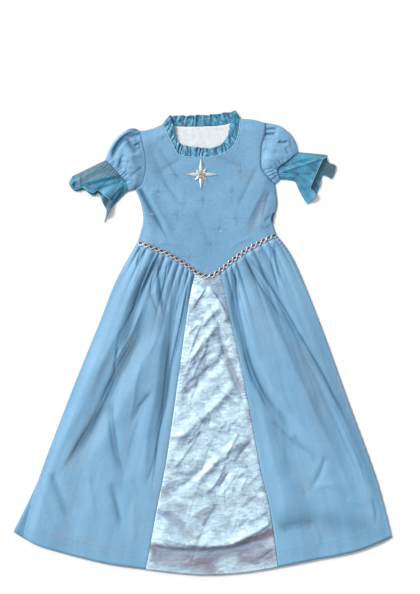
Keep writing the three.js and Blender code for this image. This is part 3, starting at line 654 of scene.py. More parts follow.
# How pointed a fold is, where it starts and ends as shares of its length, and how narrow it is
foldStyles = {
    "main": {"sharp": 1.7, "fadeIn": 0.16, "fadeOut": 0.72, "narrow": 0.8},
    "crease": {"sharp": 1.3, "fadeIn": 0.16, "fadeOut": 0.66, "narrow": 0.8, "crisp": True},
    "valley": {"sharp": 1.2, "fadeIn": 0.12, "fadeOut": 0.7, "crisp": True},
    "stroke": {"sharp": 2.0, "fadeIn": 0.18, "fadeOut": 0.76},
    "satinCrease": {"sharp": 1.2, "fadeIn": 0.3, "fadeOut": 0.6, "crisp": True},
    "satinFold": {"sharp": 1.25, "fadeIn": 0.12, "fadeOut": 0.85, "crisp": True},
    "roll": {"sharp": 2.0, "fadeIn": 0.3, "fadeOut": 0.95},
    "tick": {"sharp": 1.5, "fadeIn": 0.01, "fadeOut": 0.5, "crisp": True},
    "puff": {"sharp": 1.4, "fadeIn": 0.12, "fadeOut": 0.75, "crisp": True},
    "flounce": {"sharp": 1.4, "fadeIn": 0.1, "fadeOut": 0.8, "crisp": True},
}


# A crisp crease is steep on the bank that turns from the light and soft on the other
def foldHeight(row, x, y, sharp, fadeIn, fadeOut, narrow=1.0, crisp=False):
    fold = dict(zip(foldColumns, row))
    if crisp:
        leftLit = 0.42 * (fold["toX"] - fold["fromX"]) + 0.62 * (fold["toY"] - fold["fromY"]) > 0
        steep, soft = sorted((fold["left"], fold["right"]))
        steep *= body["steep"]
        fold["left"], fold["right"] = (steep, soft) if leftLit == (fold["rise"] < 0) else (soft, steep)
    t = np.linspace(0, 1, foldSteps + 1)
    lineX = (1 - t) ** 2 * fold["fromX"] + 2 * t * (1 - t) * fold["bendX"] + t**2 * fold["toX"]
    lineY = (1 - t) ** 2 * fold["fromY"] + 2 * t * (1 - t) * fold["bendY"] + t**2 * fold["toY"]
    nearest = np.full(x.shape, 1e9)
    side = np.zeros(x.shape)
    share = np.zeros(x.shape)
    for k in range(foldSteps):
        dx, dy = lineX[k + 1] - lineX[k], lineY[k + 1] - lineY[k]
        ax, ay = x - lineX[k], y - lineY[k]
        along = np.clip((ax * dx + ay * dy) / (dx * dx + dy * dy), 0, 1)
        distance = np.hypot(ax - along * dx, ay - along * dy)
        closer = distance < nearest
        nearest = np.where(closer, distance, nearest)
        side = np.where(closer, dx * ay - dy * ax, side)
        share = np.where(closer, (k + along) / foldSteps, share)
    slope = np.where(side > 0, fold["left"], fold["right"])
    fade = smooth(share, 0, fadeIn) * (1 - smooth(share, fadeOut, 1))
    return fold["rise"] * fade * near(nearest, slope * narrow, sharp)


def foldSum(rows, x, y, style, **changes):
    settings = {**foldStyles[style], **changes}
    return sum((foldHeight(row, x, y, **settings) for row in rows), np.zeros(x.shape))


def curveDistance(curve, x, y, samples=90):
    nearest = np.full(x.shape, 1e9)
    for px, py in curve(np.linspace(0, 1, samples)):
        nearest = np.minimum(nearest, np.hypot(x - px, y - py))
    return nearest


# Distance to the closest of some seams
def seamDistance(names, x, y, samples=90):
    return np.minimum.reduce([curveDistance(seams[name], x, y, samples) for name in names])


foldedEdges = [
    "sideLeftBodice",
    "sideRightBodice",
    "shoulderLeft",
    "shoulderRight",
    "sideLeftSkirt",
    "sideRightSkirt",
]


def fromEdge(x, y):
    return seamDistance(foldedEdges, x, y)


# Gentle unevenness from a few seeded waves, between about -1 and 1
def unevenness(x, y, size, seed):
    draw = random.Random(seed)
    total = np.zeros(x.shape)
    for _ in range(7):
        angle = draw.uniform(0, math.pi)
        wave = 2 * math.pi / (size * draw.uniform(0.7, 1.6))
        total += np.sin(wave * (x * math.cos(angle) + y * math.sin(angle)) + draw.uniform(0, 6.3))
    return total / 3.4


# Lines that were drawn straight wander a little
def bend(x, y):
    return x + body["wander"] * unevenness(x, y, 120, 11), y + body["wander"] * unevenness(x, y, 140, 12)


# Top of the front at a point: loft, main folds and what the fine creases add
def frontTop(x, y, creases=()):
    edge = fromEdge(x, y)
    bentX, bentY = bend(x, y)
    height = body["loft"] + body["foldGain"] * foldSum(mainFolds, bentX, bentY, "main")
    height = np.maximum(height, 0.12 * height) * smooth(edge, 0, body["edgeRound"])
    height += body["creaseGain"] * foldSum(creases, bentX, bentY, "crease") * smooth(edge, 0, 12)
    height += 0.35 * unevenness(x, y, 60, 13) * smooth(edge, 4, 30)
    height = np.maximum(height, body["least"] + 0.15 * (height - body["least"]))
    drop = body["edgeDrop"] * near(edge, 1.6)
    return body["rest"] + body["wall"] + height - drop


# Painted shade in the bottoms of the creases, 1 where their depth in mm is full
def creaseShade(rows, x, y, full, narrow=0.42):
    valleys = [row for row in rows if row[foldColumns.index("rise")] < 0]
    return -foldSum(valleys, x, y, "valley", narrow=narrow) / full


# Soft strokes of another tone, for painted shade and painted sheen
def strokes(rows, x, y):
    return foldSum(rows, x, y, "stroke")


# Dark line along a seam
def seamShade(names, x, y, dark, wide=1.9):
    return dark * near(seamDistance(names, x, y, 200), wide)


# A tone per point, kept as an attribute that the paint reads
def tint(piece, name, tone):
    place = np.empty(3 * len(piece.data.vertices), np.float32)
    piece.data.vertices.foreach_get("co", place)
    place = place.reshape(-1, 3).astype(float) / mm
    values = np.clip(tone(place[:, 0] - shiftX, place[:, 1] - shiftY), 0, 1).astype(np.float32)
    piece.data.attributes.new(name, "FLOAT", "POINT").data.foreach_set("value", values)


# A sheet of cloth: a grid laid by shape(u, v) and given its thickness. A tube closes along one line.
def clothSheet(name, cells, shape, paint, size, thickness, under=None, spread=None, tube=False):
    bm = bmesh.new()
    bmesh.ops.create_grid(bm, x_segments=cells[0], y_segments=cells[1], size=0.5)
    flat = np.array([vert.co[:2] for vert in bm.verts])
    flat = (flat - flat.min(0)) / (flat.max(0) - flat.min(0))
    u, v = flat[:, 0], flat[:, 1]
    if spread:
        u, v = spread(u, v)
    for vert, point in zip(bm.verts, shape(u % 1.0 if tube else u, v)):
        vert.co = placed(*point)
    cloth = bm.loops.layers.uv.new("cloth")
    across, along = u * size[0], v * size[1]
    for face in bm.faces:
        face.smooth = True
        for loop in face.loops:
            loop[cloth].uv = (across[loop.vert.index], along[loop.vert.index])
    if tube:
        bmesh.ops.remove_doubles(bm, verts=bm.verts, dist=0.00001)
        bmesh.ops.recalc_face_normals(bm, faces=bm.faces)
    return thickPiece(name, bm, paint, thickness, under)


def thickPiece(name, bm, paint, thickness, under=None):
    piece = pieceOf(name, bm, paint)
    wall = piece.modifiers.new("thickness", "SOLIDIFY")
    wall.thickness = thickness * mm
    wall.offset = -1
    if under:
        piece.data.materials.append(under)
        wall.material_offset = 1
    return piece


made = {}


def dress(piece, node=None):
    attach(piece, "root")
    if node:
        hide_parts(node)


def sew(piece, node):
    made[piece.name] = piece
    dress(piece, node)


# Front of the bodice
bodice = {
    "cells": (170, 150),
    "armpit": 0.46,  # share of the side line up to the armhole
    "neckLeft": 0.14,
    "neckRight": 0.86,
    "flat": (0.335, 0.350),
    "area": 0.086,
    "seamDip": 0.9,
    "seamWide": 2.2,
    "shade": [
        (-138, 354, -119, 314, -72, 230, 1.0, 2.8, 3.8),
        (-100, 440, -84, 396, -54, 340, 0.12, 8, 8),
        (-124, 440, -118, 400, -100, 372, 0.12, 8, 8),
        (122, 300, 108, 270, 98, 244, 0.14, 6, 8),
    ],
    # strokes of painted grey sheen
    "paintedSheenShade": [
        (152, 346, 122, 294, 100, 246, 0.6, 10, 10),
        (158, 300, 152, 280, 158, 252, 0.35, 6, 6),
        (-12, 412, 30, 408, 66, 426, 0.3, 8, 8),
        (-110, 444, -96, 410, -70, 360, 0.25, 12, 12),
        (-134, 336, -116, 296, -98, 240, 0.2, 8, 8),
        (60, 400, 96, 380, 124, 360, 0.3, 12, 12),
    ],
    "creases": [
        (-141, 352, -124, 316, -88, 260, -3.4, 7, 9),
        (-128, 356, -110, 320, -78, 270, 1.6, 9, 7),
        (-138, 330, -126, 300, -112, 258, 1.2, 8, 5),
        (-104, 440, -70, 396, -36, 352, -0.9, 10, 7),
        (-96, 372, -60, 322, -8, 270, 0.9, 12, 8),
        (148, 346, 138, 320, 128, 282, -1.2, 5, 8),
        (138, 352, 112, 312, 92, 262, 0.9, 10, 8),
        (118, 398, 96, 352, 70, 300, -0.8, 9, 9),
        (30, 424, 60, 404, 104, 396, -0.7, 8, 10),
        (-50, 418, -70, 398, -106, 386, -0.7, 8, 10),
        (154, 296, 142, 290, 132, 276, -1.1, 4, 5),
        (156, 282, 146, 276, 130, 262, 0.8, 4, 5),
        (-100, 232, -70, 240, -40, 216, 0.8, 9, 9),
        (60, 214, 84, 236, 120, 250, 0.7, 9, 9),
        (-20, 300, 10, 260, 16, 200, -0.6, 12, 12),
    ],
}


# Bodice's own height: it dips along its seams
def bodiceTop(x, y):
    top = frontTop(x, y, bodice["creases"])
    for name in ("armholeLeft", "armholeRight", "neckFront"):
        top -= bodice["seamDip"] * near(curveDistance(seams[name], x, y), bodice["seamWide"])
    return top


def bodicePlan(bottom, neck, neckLeft, neckRight):
    top = joined((seams["shoulderLeft"], neckLeft), (seams[neck], neckRight), (seams["shoulderRight"], 1))
    left = joined((seams["sideLeftBodice"], bodice["armpit"]), (seams["armholeLeft"], 1))
    right = joined((seams["sideRightBodice"], bodice["armpit"]), (seams["armholeRight"], 1))
    return patch(seams[bottom], top, left, right)


def makeBodice():
    plan = bodicePlan("waistFront", "neckFront", bodice["neckLeft"], bodice["neckRight"])

    def shape(u, v):
        flat = plan(u, v)
        return np.column_stack([flat, bodiceTop(flat[:, 0], flat[:, 1])])

    cells, cut = bodice["cells"], bodice["flat"]
    piece = clothSheet("bodice_front", cells, shape, paints["printed"], cut, body["cloth"])
    tint(piece, "paintedSheenShade", lambda x, y: strokes(bodice["paintedSheenShade"], x, y))

    def shade(x, y):
        tone = creaseShade(bodice["creases"], *bend(x, y), 3) + strokes(bodice["shade"], x, y)
        return tone + seamShade(["armholeLeft"], x, y, 0.75) + seamShade(["armholeRight"], x, y, 0.35)

    tint(piece, "shade", shade)
    sew(piece, "front_bodice")


makeBodice()
print("bodice front made")


# Lines of stitching and dark lines of painted seam shade, laid on a finished sheet
def topOf(piece):
    corners = [vert.co for vert in piece.data.vertices]
    return BVHTree.FromPolygons(corners, [face.vertices for face in piece.data.polygons])


probes = [(0, 0), (0.7, 0), (-0.7, 0), (0, 0.7), (0, -0.7)]


def layLine(name, pieces, line, lift, radius, paint, dash=None):
    surfaces = [topOf(piece) for piece in pieces]
    points = []
    for x, y in line:
        starts = [Vector(placed(x + dx, y + dy, 100)) for dx, dy in probes]
        hits = [surface.ray_cast(start, Vector((0, 0, -1)))[0] for surface in surfaces for start in starts]
        heights = [hit.z for hit in hits if hit]
        if heights:
            points.append((x, y, max(heights) / mm + lift))
    if dash:
        runs = [points[k : k + dash[0]] for k in range(0, len(points) - dash[0], dash[0] + dash[1])]
    else:
        runs = [points]
    dress(joinPieces(name, [tubeAlong(name, run, radius, paint) for run in runs]))


# Front skirt: two gathered side panels
skirt = {
    "cells": (180, 168),
    "bunching": 1.5,  # rows lie closer together towards the waist
    "rise": 6.2,
    "start": 2.5,
    "full": 14,
    "seamDip": 0.9,
    "hemBand": 33,
    "hemStep": 0.7,
    "hemFlat": 46,  # the last mm above the hem lie lower
    "left": {
        "gathers": [(-132, 46), (-120, 62), (-100, 95), (-92, 80), (-79, 55), (-62, 90)]
        + [(-49, 60), (-37, 48), (-28, 60)],
        "flat": (0.36, 0.70),
        "area": 0.165,
        # strokes of painted grey sheen
        "paintedSheenShade": [
            (-140, 44, -168, -28, -202, -92, 0.8, 12, 12),
            (-222, -134, -262, -198, -316, -280, 0.6, 22, 18),
            (-80, 118, -110, 80, -128, 10, 0.4, 22, 22),
            (-380, -401, -247, -422, -142, -450, 0.4, 7, 7),
            (-150, -330, -146, -380, -152, -430, 0.35, 12, 12),
        ],
        "shade": [
            (-70, 20, -84, -130, -106, -230, 0.4, 5, 10),
            (-60, 140, -96, 0, -150, -160, 0.14, 26, 20),
            (-101, 216, -124, 130, -196, 8, 0.8, 2.2, 3.0),
            (-122, 224, -136, 180, -152, 132, 0.5, 1.8, 2.2),
            (-133, 226, -140, 200, -146, 178, 0.5, 1.6, 2),
            (-96, 166, -94, 108, -84, 60, 0.7, 2.6, 2.2),
            (-86, 76, -90, 20, -130, -36, 0.35, 3, 3),
            (-94, 208, -103, 164, -92, 128, 0.45, 2, 2),
            (-76, 198, -84, 168, -92, 140, 0.4, 2, 2),
            (-60, 192, -70, 110, -74, 0, 0.4, 2, 2.4),
            (-35, 180, -46, 126, -62, 66, 0.5, 2, 2.2),
            (-22, 172, -32, 90, -72, -60, 0.6, 2.6, 2.2),
            (-176, 48, -194, 14, -188, -40, 0.45, 3, 2.2),
            (-190, -50, -212, -112, -262, -215, 0.35, 4, 3),
            (-197, -104, -200, -190, -172, -286, 0.35, 2, 2),
            (-112, -106, -150, -150, -170, -262, 0.25, 3, 2.6),
            (-330, -276, -308, -330, -274, -396, 0.25, 2, 2),
            (-204, -304, -194, -345, -168, -400, 0.25, 2, 2),
        ],
        "creases": [
            (-132, 222, -142, 200, -146, 172, -1.8, 4, 7),
            (-29, 166, -54, 20, -92, -160, -2.4, 8, 4),
            (-66, -30, -88, -150, -116, -330, -2.0, 9, 4),
            (-92, 205, -118, 150, -110, 104, -2.2, 6, 4),
            (-110, 118, -104, 92, -92, 70, -2.0, 6, 4),
            (-78, 190, -84, 150, -94, 96, -1.8, 6, 3),
            (-104, 205, -128, 150, -134, 110, 1.3, 6, 5),
            (-112, 190, -134, 130, -152, 66, -1.8, 5, 7),
            (-124, 92, -172, 20, -206, -60, 1.6, 7, 12),
            (-150, 20, -188, -50, -230, -128, -1.8, 6, 12),
            (-186, 4, -196, -24, -190, -60, -1.6, 5, 7),
            (-222, -120, -262, -190, -322, -284, 1.5, 8, 14),
            (-96, 190, -106, 140, -96, 100, 1.2, 4, 5),
            (-92, 130, -86, 96, -72, 84, -1.4, 5, 5),
            (-76, 188, -84, 120, -84, 40, 1.1, 6, 6),
            (-50, 176, -56, 90, -66, 10, -1.2, 5, 6),
            (-36, 168, -44, 110, -52, 40, 1.0, 4, 5),
            (-70, 30, -80, -100, -104, -210, -1.4, 5, 8),
            (-128, -20, -150, -90, -160, -160, 1.1, 9, 9),
            (-112, -90, -126, -116, -152, -140, -1.3, 5, 6),
            (-96, -210, -110, -262, -128, -300, -1.0, 7, 8),
            (-206, -150, -200, -230, -172, -276, -1.3, 6, 8),
            (-172, -276, -150, -300, -140, -330, 1.0, 7, 6),
            (-196, -310, -188, -356, -176, -398, -1.1, 7, 6),
            (-330, -276, -312, -330, -290, -384, -1.2, 8, 6),
            (-250, -270, -244, -330, -236, -390, 0.9, 14, 12),
            (-150, -330, -146, -380, -152, -430, 0.8, 12, 10),
            (-362, -300, -340, -350, -330, -400, 0.8, 10, 12),
        ],
    },
    "right": {
        "gathers": [(50, 55), (61, 100), (71, 70), (90, 90), (107, 110), (125, 60), (140, 48), (155, 65)],
        "flat": (0.35, 0.71),
        "area": 0.16,
        # strokes of painted grey sheen
        "paintedSheenShade": [
            (196, 40, 240, -60, 270, -170, 0.5, 26, 26),
            (110, 120, 130, 40, 150, -40, 0.35, 18, 18),
            (186, -388, 240, -380, 310, -408, 0.35, 16, 16),
            (344, -330, 366, -350, 366, -392, 0.3, 14, 14),
            (200, -250, 230, -290, 226, -340, 0.35, 16, 16),
        ],
        "shade": [
            (150, -398, 250, -346, 410, -414, 0.36, 22, 28),
            (222, 20, 300, -140, 384, -340, 0.22, 14, 5),
            (130, -90, 160, -190, 190, -290, 0.16, 22, 30),
            (62, 186, 76, 90, 106, -36, 0.55, 2.2, 2),
            (72, 190, 70, 140, 82, 90, 0.4, 1.8, 1.8),
            (96, 6, 106, -48, 146, -126, 0.6, 3, 2.4),
            (86, 204, 118, 158, 156, 72, 0.5, 2, 2),
            (92, 212, 166, 122, 230, -2, 0.65, 2.4, 2.4),
            (204, 44, 250, -28, 304, -146, 0.5, 3, 2.6),
            (108, 224, 124, 192, 138, 156, 0.35, 2, 2),
            (158, 234, 160, 190, 171, 140, 0.5, 1.8, 2),
            (122, 216, 126, 200, 130, 184, 0.4, 1.8, 1.8),
        ],
        "creases": [
            (101, 196, 132, 142, 158, 96, -1.6, 5, 6),
            (68, 183, 78, 70, 96, -20, -2.4, 7, 4),
            (92, -10, 108, -60, 156, -158, -2.2, 8, 4),
            (94, 197, 126, 120, 214, 26, -2.2, 8, 4),
            (206, 38, 270, -50, 330, -190, -2.2, 9, 4),
            (148, 206, 156, 160, 170, 112, -1.8, 6, 3),
            (112, 196, 150, 130, 178, 80, 1.2, 6, 8),
            (156, 229, 160, 190, 176, 140, -1.5, 4, 6),
            (142, 226, 156, 180, 184, 120, 1.0, 6, 8),
            (168, 96, 220, 8, 284, -110, -1.5, 5, 9),
            (60, 176, 72, 92, 84, 20, -1.7, 5, 6),
            (74, 176, 80, 100, 92, 20, 1.4, 6, 5),
            (90, 6, 104, -60, 128, -110, -1.5, 5, 7),
            (112, -50, 150, -130, 214, -190, -1.4, 7, 7),
            (126, -40, 170, -110, 222, -176, 1.2, 9, 6),
            (150, -160, 196, -206, 264, -247, -1.8, 7, 6),
            (270, -238, 263, -276, 234, -308, -2.4, 7, 8),
            (224, -310, 262, -296, 306, -303, 1.5, 6, 6),
            (246, -292, 234, -312, 214, -322, -1.0, 7, 7),
            (160, -120, 178, -200, 182, -290, 0.9, 18, 12),
            (286, -120, 336, -220, 372, -330, -1.2, 6, 10),
            (372, -330, 384, -360, 376, -392, -1.3, 7, 6),
            (318, -330, 340, -350, 372, -342, 1.0, 8, 10),
            (178, -402, 214, -386, 256, -398, -1.2, 8, 9),
            (240, -388, 262, -410, 256, -440, 0.9, 10, 8),
            (196, 40, 230, -60, 262, -160, 0.9, 20, 14),
        ],
    },
}


def waistShare(x):
    share = np.linspace(0, 1, 2001)
    return float(np.interp(x, seams["waistFront"](share)[:, 0], share))


# Gathers along the waist: rows of (x of a valley, how far it reaches down)
def gatherShape(rows, start, end):
    first, last = waistShare(start), waistShare(end)
    valleys = [0.0] + [(waistShare(x) - first) / (last - first) for x, _ in rows] + [1.0]
    reaches = [rows[0][1]] + [reach for _, reach in rows] + [rows[-1][1]]

    def rise(u, below, tones):
        k = np.clip(np.searchsorted(valleys, u, side="right"), 1, len(valleys) - 1)
        low, high = np.take(valleys, k - 1), np.take(valleys, k)
        part = (u - low) / (high - low)
        reach = np.interp(u, valleys, reaches)
        bell = (0.5 - 0.5 * np.cos(2 * math.pi * part)) ** 0.4
        valley = smooth(0.62 - bell, 0, 0.5) * smooth(below, 2, 8)
        # painted shade in the gather valleys
        tones["valley"] = valley * near(below, reach, 1.6)
        fade = smooth(below, skirt["start"], skirt["full"]) * near(below, reach, 1.3)
        return skirt["rise"] * bell * fade

    return rise


def spreadRows(u, v):
    return u, 1 - (1 - v) ** skirt["bunching"]


def makeSkirtSide(side, start, end, hem, left, right, satinSeam):
    spec = skirt[side]
    waist = between(seams["waistFront"], waistShare(start), waistShare(end))
    plan = patch(seams[hem], waist, reversedSeam(seams[left]), reversedSeam(seams[right]))
    rise = gatherShape(spec["gathers"], start, end)
    tones = {}

    def shape(u, v):
        flat = plan(u, v)
        x, y = flat[:, 0], flat[:, 1]
        below = np.hypot(*(waist(u) - flat).T)
        above = np.hypot(*(seams[hem](u) - flat).T)
        top = frontTop(x, y, spec["creases"]) + rise(u, below, tones) * smooth(fromEdge(x, y), 0, 8)
        top -= skirt["seamDip"] * near(seamDistance([satinSeam], x, y, 300), 2.5)
        top += skirt["hemStep"] * smooth(skirt["hemBand"] - above, -1.2, 1.2)
        top -= (top - body["rest"] - body["wall"]) * 0.45 * (1 - smooth(above, 0, skirt["hemFlat"]))
        return np.column_stack([flat, top])

    cells, cut = skirt["cells"], spec["flat"]
    piece = clothSheet("skirt_" + side, cells, shape, paints["skirt"], cut, body["cloth"], spread=spreadRows)
    tint(piece, "paintedSheenShade", lambda x, y: strokes(spec["paintedSheenShade"], x, y))

    def shade(x, y):
        tone = creaseShade(spec["creases"] + mainFolds, *bend(x, y), 6)
        return tone + 0.30 * tones["valley"] + strokes(spec["shade"], x, y)

    tint(piece, "shade", shade)
    sew(piece, "skirt_front_" + side)


makeSkirtSide("left", -143, -16, "hemLeft", "sideLeftSkirt", "satinLeft", "satinLeft")
makeSkirtSide("right", 38, 162, "hemRight", "satinRight", "sideRightSkirt", "satinRight")
print("skirt sides made")


# Satin centre panel: the main folds and many sharp creases, mostly along one diagonal
centre = {
    "cells": (128, 300),
    "cloth": 0.4,
    "flat": (0.30, 0.67),
    "area": 0.125,
    "creaseCount": 300,
    "seed": 5,
    "lean": 52,  # degrees from the x axis that most creases follow
    "pucker": 0.9,
    "puckerApart": 6.5,
    "crumple": 0.8,
    "foldGain": 0.9,
    "seamRise": 0.6,
    "seamDip": 0.7,
    "hemBand": 11,
    "hemStep": 0.35,
    "hemFlat": 40,
    # strokes of painted steel shade
    "steelShade": [
        (0, 154, 14, 148, 34, 142, 1.0, 14, 14),
        (28, 152, 42, 112, 70, 56, 1.0, 12, 9),
        (-18, 62, -30, 50, -44, 36, 0.7, 9, 9),
        (-8, 30, -26, 10, -44, -24, 0.6, 7, 7),
        (-34, 84, -14, 66, 8, 58, 0.7, 7, 8),
        (24, 10, 4, -18, -14, -48, 0.5, 7, 7),
        (-40, -60, -20, -84, 10, -96, 0.35, 6, 7),
        (-104, -352, -66, -372, -30, -396, 0.7, 9, 9),
        (96, -384, 118, -376, 146, -352, 0.6, 8, 8),
    ],
    # strokes of painted lilac sheen and shade, most of them along the hem band
    "paintedSheenShade": [
        (-10, 112, -20, 94, -32, 80, 0.45, 8, 9),
        (-40, 60, -20, 44, 4, 34, 0.2, 10, 10),
        (42, 14, 60, -40, 90, -100, 0.8, 7, 8),
        (96, -130, 110, -170, 124, -200, 0.3, 10, 10),
        (-52, -30, -46, -50, -30, -70, 0.3, 8, 8),
        (-140, -426, -60, -452, 50, -448, 1.1, 9, 15),
        (-24, -452, 84, -452, 196, -372, 1.2, 9, 17),
        (-30, -440, 0, -466, 40, -510, 0.8, 20, 22),
        (70, -450, 110, -456, 180, -440, 0.6, 18, 18),
        (-124, -462, -60, -470, 0, -480, 0.6, 13, 13),
        (60, -474, 110, -470, 170, -452, 0.45, 12, 12),
        (-100, -300, -70, -340, -20, -366, 0.3, 10, 10),
        (10, -360, 60, -350, 120, -300, 0.3, 9, 9),
        (-84, -352, -50, -384, -4, -430, 0.45, 11, 11),
        (80, -258, 92, -236, 112, -206, 0.4, 7, 7),
        (-40, -330, 0, -318, 20, -300, 0.3, 8, 8),
        (-66, -196, -50, -210, -30, -206, 0.35, 7, 8),
        (-14, -380, 4, -366, 20, -346, 0.5, 8, 8),
    ],
    "folds": [
        (8, 134, -6, 112, -24, 84, 4.0, 14, 5),
        (12, 136, 40, 104, 64, 52, 4.6, 5, 24),
        (14, 96, 24, 78, 30, 58, -1.6, 4, 5),
        (24, 84, 34, 60, 40, 40, -1.4, 4, 4),
        (4, 62, -20, 44, -44, 20, 2.6, 5, 9),
        (0, 58, -18, 24, -32, -24, 2.4, 4, 10),
        (8, 30, -6, 2, -28, -34, 2.2, 5, 9),
        (18, -4, -2, -20, -26, -40, 2.0, 5, 8),
        (16, -38, 0, -62, -38, -80, -2.6, 6, 6),
        (-8, -64, -12, -86, -24, -114, -2.0, 5, 7),
        (36, 46, 42, 6, 54, -26, -3.4, 12, 9),
        (54, -26, 66, -66, 96, -126, -3.2, 12, 10),
        (36, -14, 44, -24, 56, -36, -2.0, 5, 5),
        (30, -84, 56, -110, 92, -134, -1.8, 6, 6),
        (-38, -60, -30, -40, -14, -24, 1.8, 6, 6),
        (-2, -182, -16, -200, -32, -212, -3.0, 6, 8),
        (-74, -196, -50, -206, -18, -190, -1.9, 6, 7),
        (-2, -176, -34, -232, -64, -266, 2.2, 4, 8),
        (3, -320, 40, -300, 50, -245, 2.8, 5, 9),
        (50, -245, 62, -216, 80, -184, 2.6, 5, 8),
        (37, -306, 46, -288, 60, -271, -3.4, 6, 5),
        (70, -254, 88, -222, 114, -197, -2.6, 9, 5),
        (83, -315, 90, -300, 99, -280, 1.6, 5, 5),
        (4, -394, 14, -362, 38, -340, -2.4, 11, 8),
        (-60, -272, -20, -286, 20, -278, -1.8, 8, 6),
        (-66, -318, -24, -340, 10, -322, -1.8, 8, 7),
        (-104, -352, -66, -372, -30, -396, -3.2, 12, 9),
        (-92, -390, -60, -400, -26, -424, 1.8, 9, 7),
        (-114, -408, -10, -446, 72, -428, 4.6, 14, 8),
        (60, -430, 116, -410, 158, -376, 4.6, 14, 8),
        (-120, -434, 30, -468, 164, -408, -4.2, 11, 22),
        (118, -470, 138, -458, 160, -440, -2.6, 6, 6),
        (-112, -454, -84, -462, -50, -474, -1.8, 6, 6),
        (86, -350, 110, -336, 128, -312, -2.0, 9, 7),
        (96, -384, 118, -376, 146, -352, 1.8, 7, 7),
    ],
}


def satinCreases():
    draw = random.Random(centre["seed"])
    rows = []
    for _ in range(centre["creaseCount"]):
        y = draw.uniform(-480, 150)
        share = (168 - y) / 654
        x = draw.uniform(-16 - 108 * share, 38 + 129 * share)
        lean = draw.gauss(centre["lean"], 20) if draw.random() < 0.68 else draw.uniform(0, 180)
        length = draw.uniform(12, 50) if draw.random() < 0.85 else draw.uniform(50, 120)
        dx = math.cos(math.radians(lean)) * length / 2
        dy = math.sin(math.radians(lean)) * length / 2
        bow = draw.uniform(-0.18, 0.18)
        rise = draw.choice((-1, 1)) * draw.uniform(0.25, 0.85) * (0.6 + length / 110)
        rise *= 0.45 if y > 20 else 1
        left = draw.uniform(2.0, 5.2)
        right = left * draw.uniform(0.45, 1.6)
        rows.append((x - dx, y - dy, x - dy * bow, y + dx * bow, x + dx, y + dy, rise, left, right))
    return rows


def makeSatin():
    sides = ["satinLeft", "satinRight"]
    waist = between(seams["waistFront"], waistShare(-16), waistShare(38))
    plan = patch(seams["hemCentre"], waist, *[reversedSeam(seams[name]) for name in sides])
    creases = satinCreases()

    def shape(u, v):
        flat = plan(u, v)
        x, y = flat[:, 0], flat[:, 1]
        below = np.hypot(*(waist(u) - flat).T)
        above = np.hypot(*(seams["hemCentre"](u) - flat).T)
        beside = seamDistance(sides, x, y, 300)
        top = frontTop(x, y)
        crumple = foldSum(creases, x, y, "satinCrease")
        crumple += centre["foldGain"] * foldSum(centre["folds"], x, y, "satinFold")
        inner = centre["crumple"] * smooth(beside, 0, 12) * smooth(below, 0, 16)
        inner *= 0.35 + 0.65 * smooth(above, 8, 40)
        top += (crumple + 0.5 * unevenness(x, y, 26, 21)) * inner + centre["seamRise"] * smooth(beside, 0, 12)
        pull = np.sin(y * 2 * math.pi / centre["puckerApart"] + 1.7 * unevenness(x, y, 30, 22))
        pull *= 0.55 + 0.45 * unevenness(x, y, 45, 23)
        top += centre["pucker"] * pull * near(beside, 8) * (1 - 0.6 * smooth(below, 200, 420))
        top -= centre["seamDip"] * near(beside, 2.2)
        top += centre["hemStep"] * smooth(centre["hemBand"] - above, -0.8, 0.8)
        top -= (top - body["rest"] - body["wall"]) * 0.4 * (1 - smooth(above, 0, centre["hemFlat"]))
        top = np.maximum(top, body["rest"] + 0.9)
        return np.column_stack([flat, top])

    piece = clothSheet(
        "satin_panel", centre["cells"], shape, paints["satin"], centre["flat"], centre["cloth"]
    )
    tint(piece, "paintedSheenShade", lambda x, y: strokes(centre["paintedSheenShade"], x, y))

    def shade(x, y):
        return strokes(centre["steelShade"], x, y) + creaseShade(centre["folds"] + creases, x, y, 2.4)

    tint(piece, "shade", shade)
    sew(piece, "skirt_centre_panel")


makeSatin()
print("satin panel made")


# Back of the dress, flat on the floor, drawn into soft gathers at the back waist
back = {
    "top": 0.75,
    "bodice": {"flat": (0.335, 0.30), "area": 0.078, "cells": (60, 50)},
    "skirt": {"flat": (0.96, 0.76), "area": 0.50, "cells": (120, 70)},
    "gathers": 26,
    "gatherRise": 0.9,
    "long": 720,  # mm from waist to hem
    "roll": (-352, -262, -388, -322, -410, -404, 2.6, 10, 7),  # the hem's left corner rolls up
}


def makeBackBodice():
    plan = bodicePlan("waistBack", "neckBack", 0.16, 0.84)
    spec = back["bodice"]

    def shape(u, v):
        flat = plan(u, v)
        soft = 0.25 * (1 + unevenness(flat[:, 0], flat[:, 1], 70, 31)) * smooth(v, 0, 0.1)
        return np.column_stack([flat, back["top"] + np.clip(soft, 0, 0.7)])

    inside, outside = paints["inside"], paints["printed"]
    piece = clothSheet("bodice_back", spec["cells"], shape, inside, spec["flat"], body["cloth"], outside)
    sew(piece, "back_bodice")


def makeBackSkirt():
    hem = joined((seams["hemLeftBack"], 0.345), (seams["hemCentre"], 0.695), (seams["hemRight"], 1))
    sides = [reversedSeam(seams[name]) for name in ("sideLeftSkirtBack", "sideRightSkirt")]
    plan = patch(hem, seams["waistBack"], *sides)
    spec = back["skirt"]

    def shape(u, v):
        flat = plan(u, v)
        x, y = flat[:, 0], flat[:, 1]
        below = (1 - v) * back["long"]
        gather = 0.5 - 0.5 * np.cos(2 * math.pi * back["gathers"] * u + 0.8 * np.sin(9 * u))
        top = back["top"] + back["gatherRise"] * gather * smooth(below, 2, 14) * near(below, 80, 1.4)
        roll = foldSum([back["roll"]], x, y, "roll")
        return np.column_stack([flat, top + roll])

    cells, cut = spec["cells"], spec["flat"]
    piece = clothSheet("skirt_back", cells, shape, paints["blue"], cut, body["cloth"], spread=spreadRows)
    sew(piece, "back_skirt")


makeBackBodice()
makeBackSkirt()
print("back made")


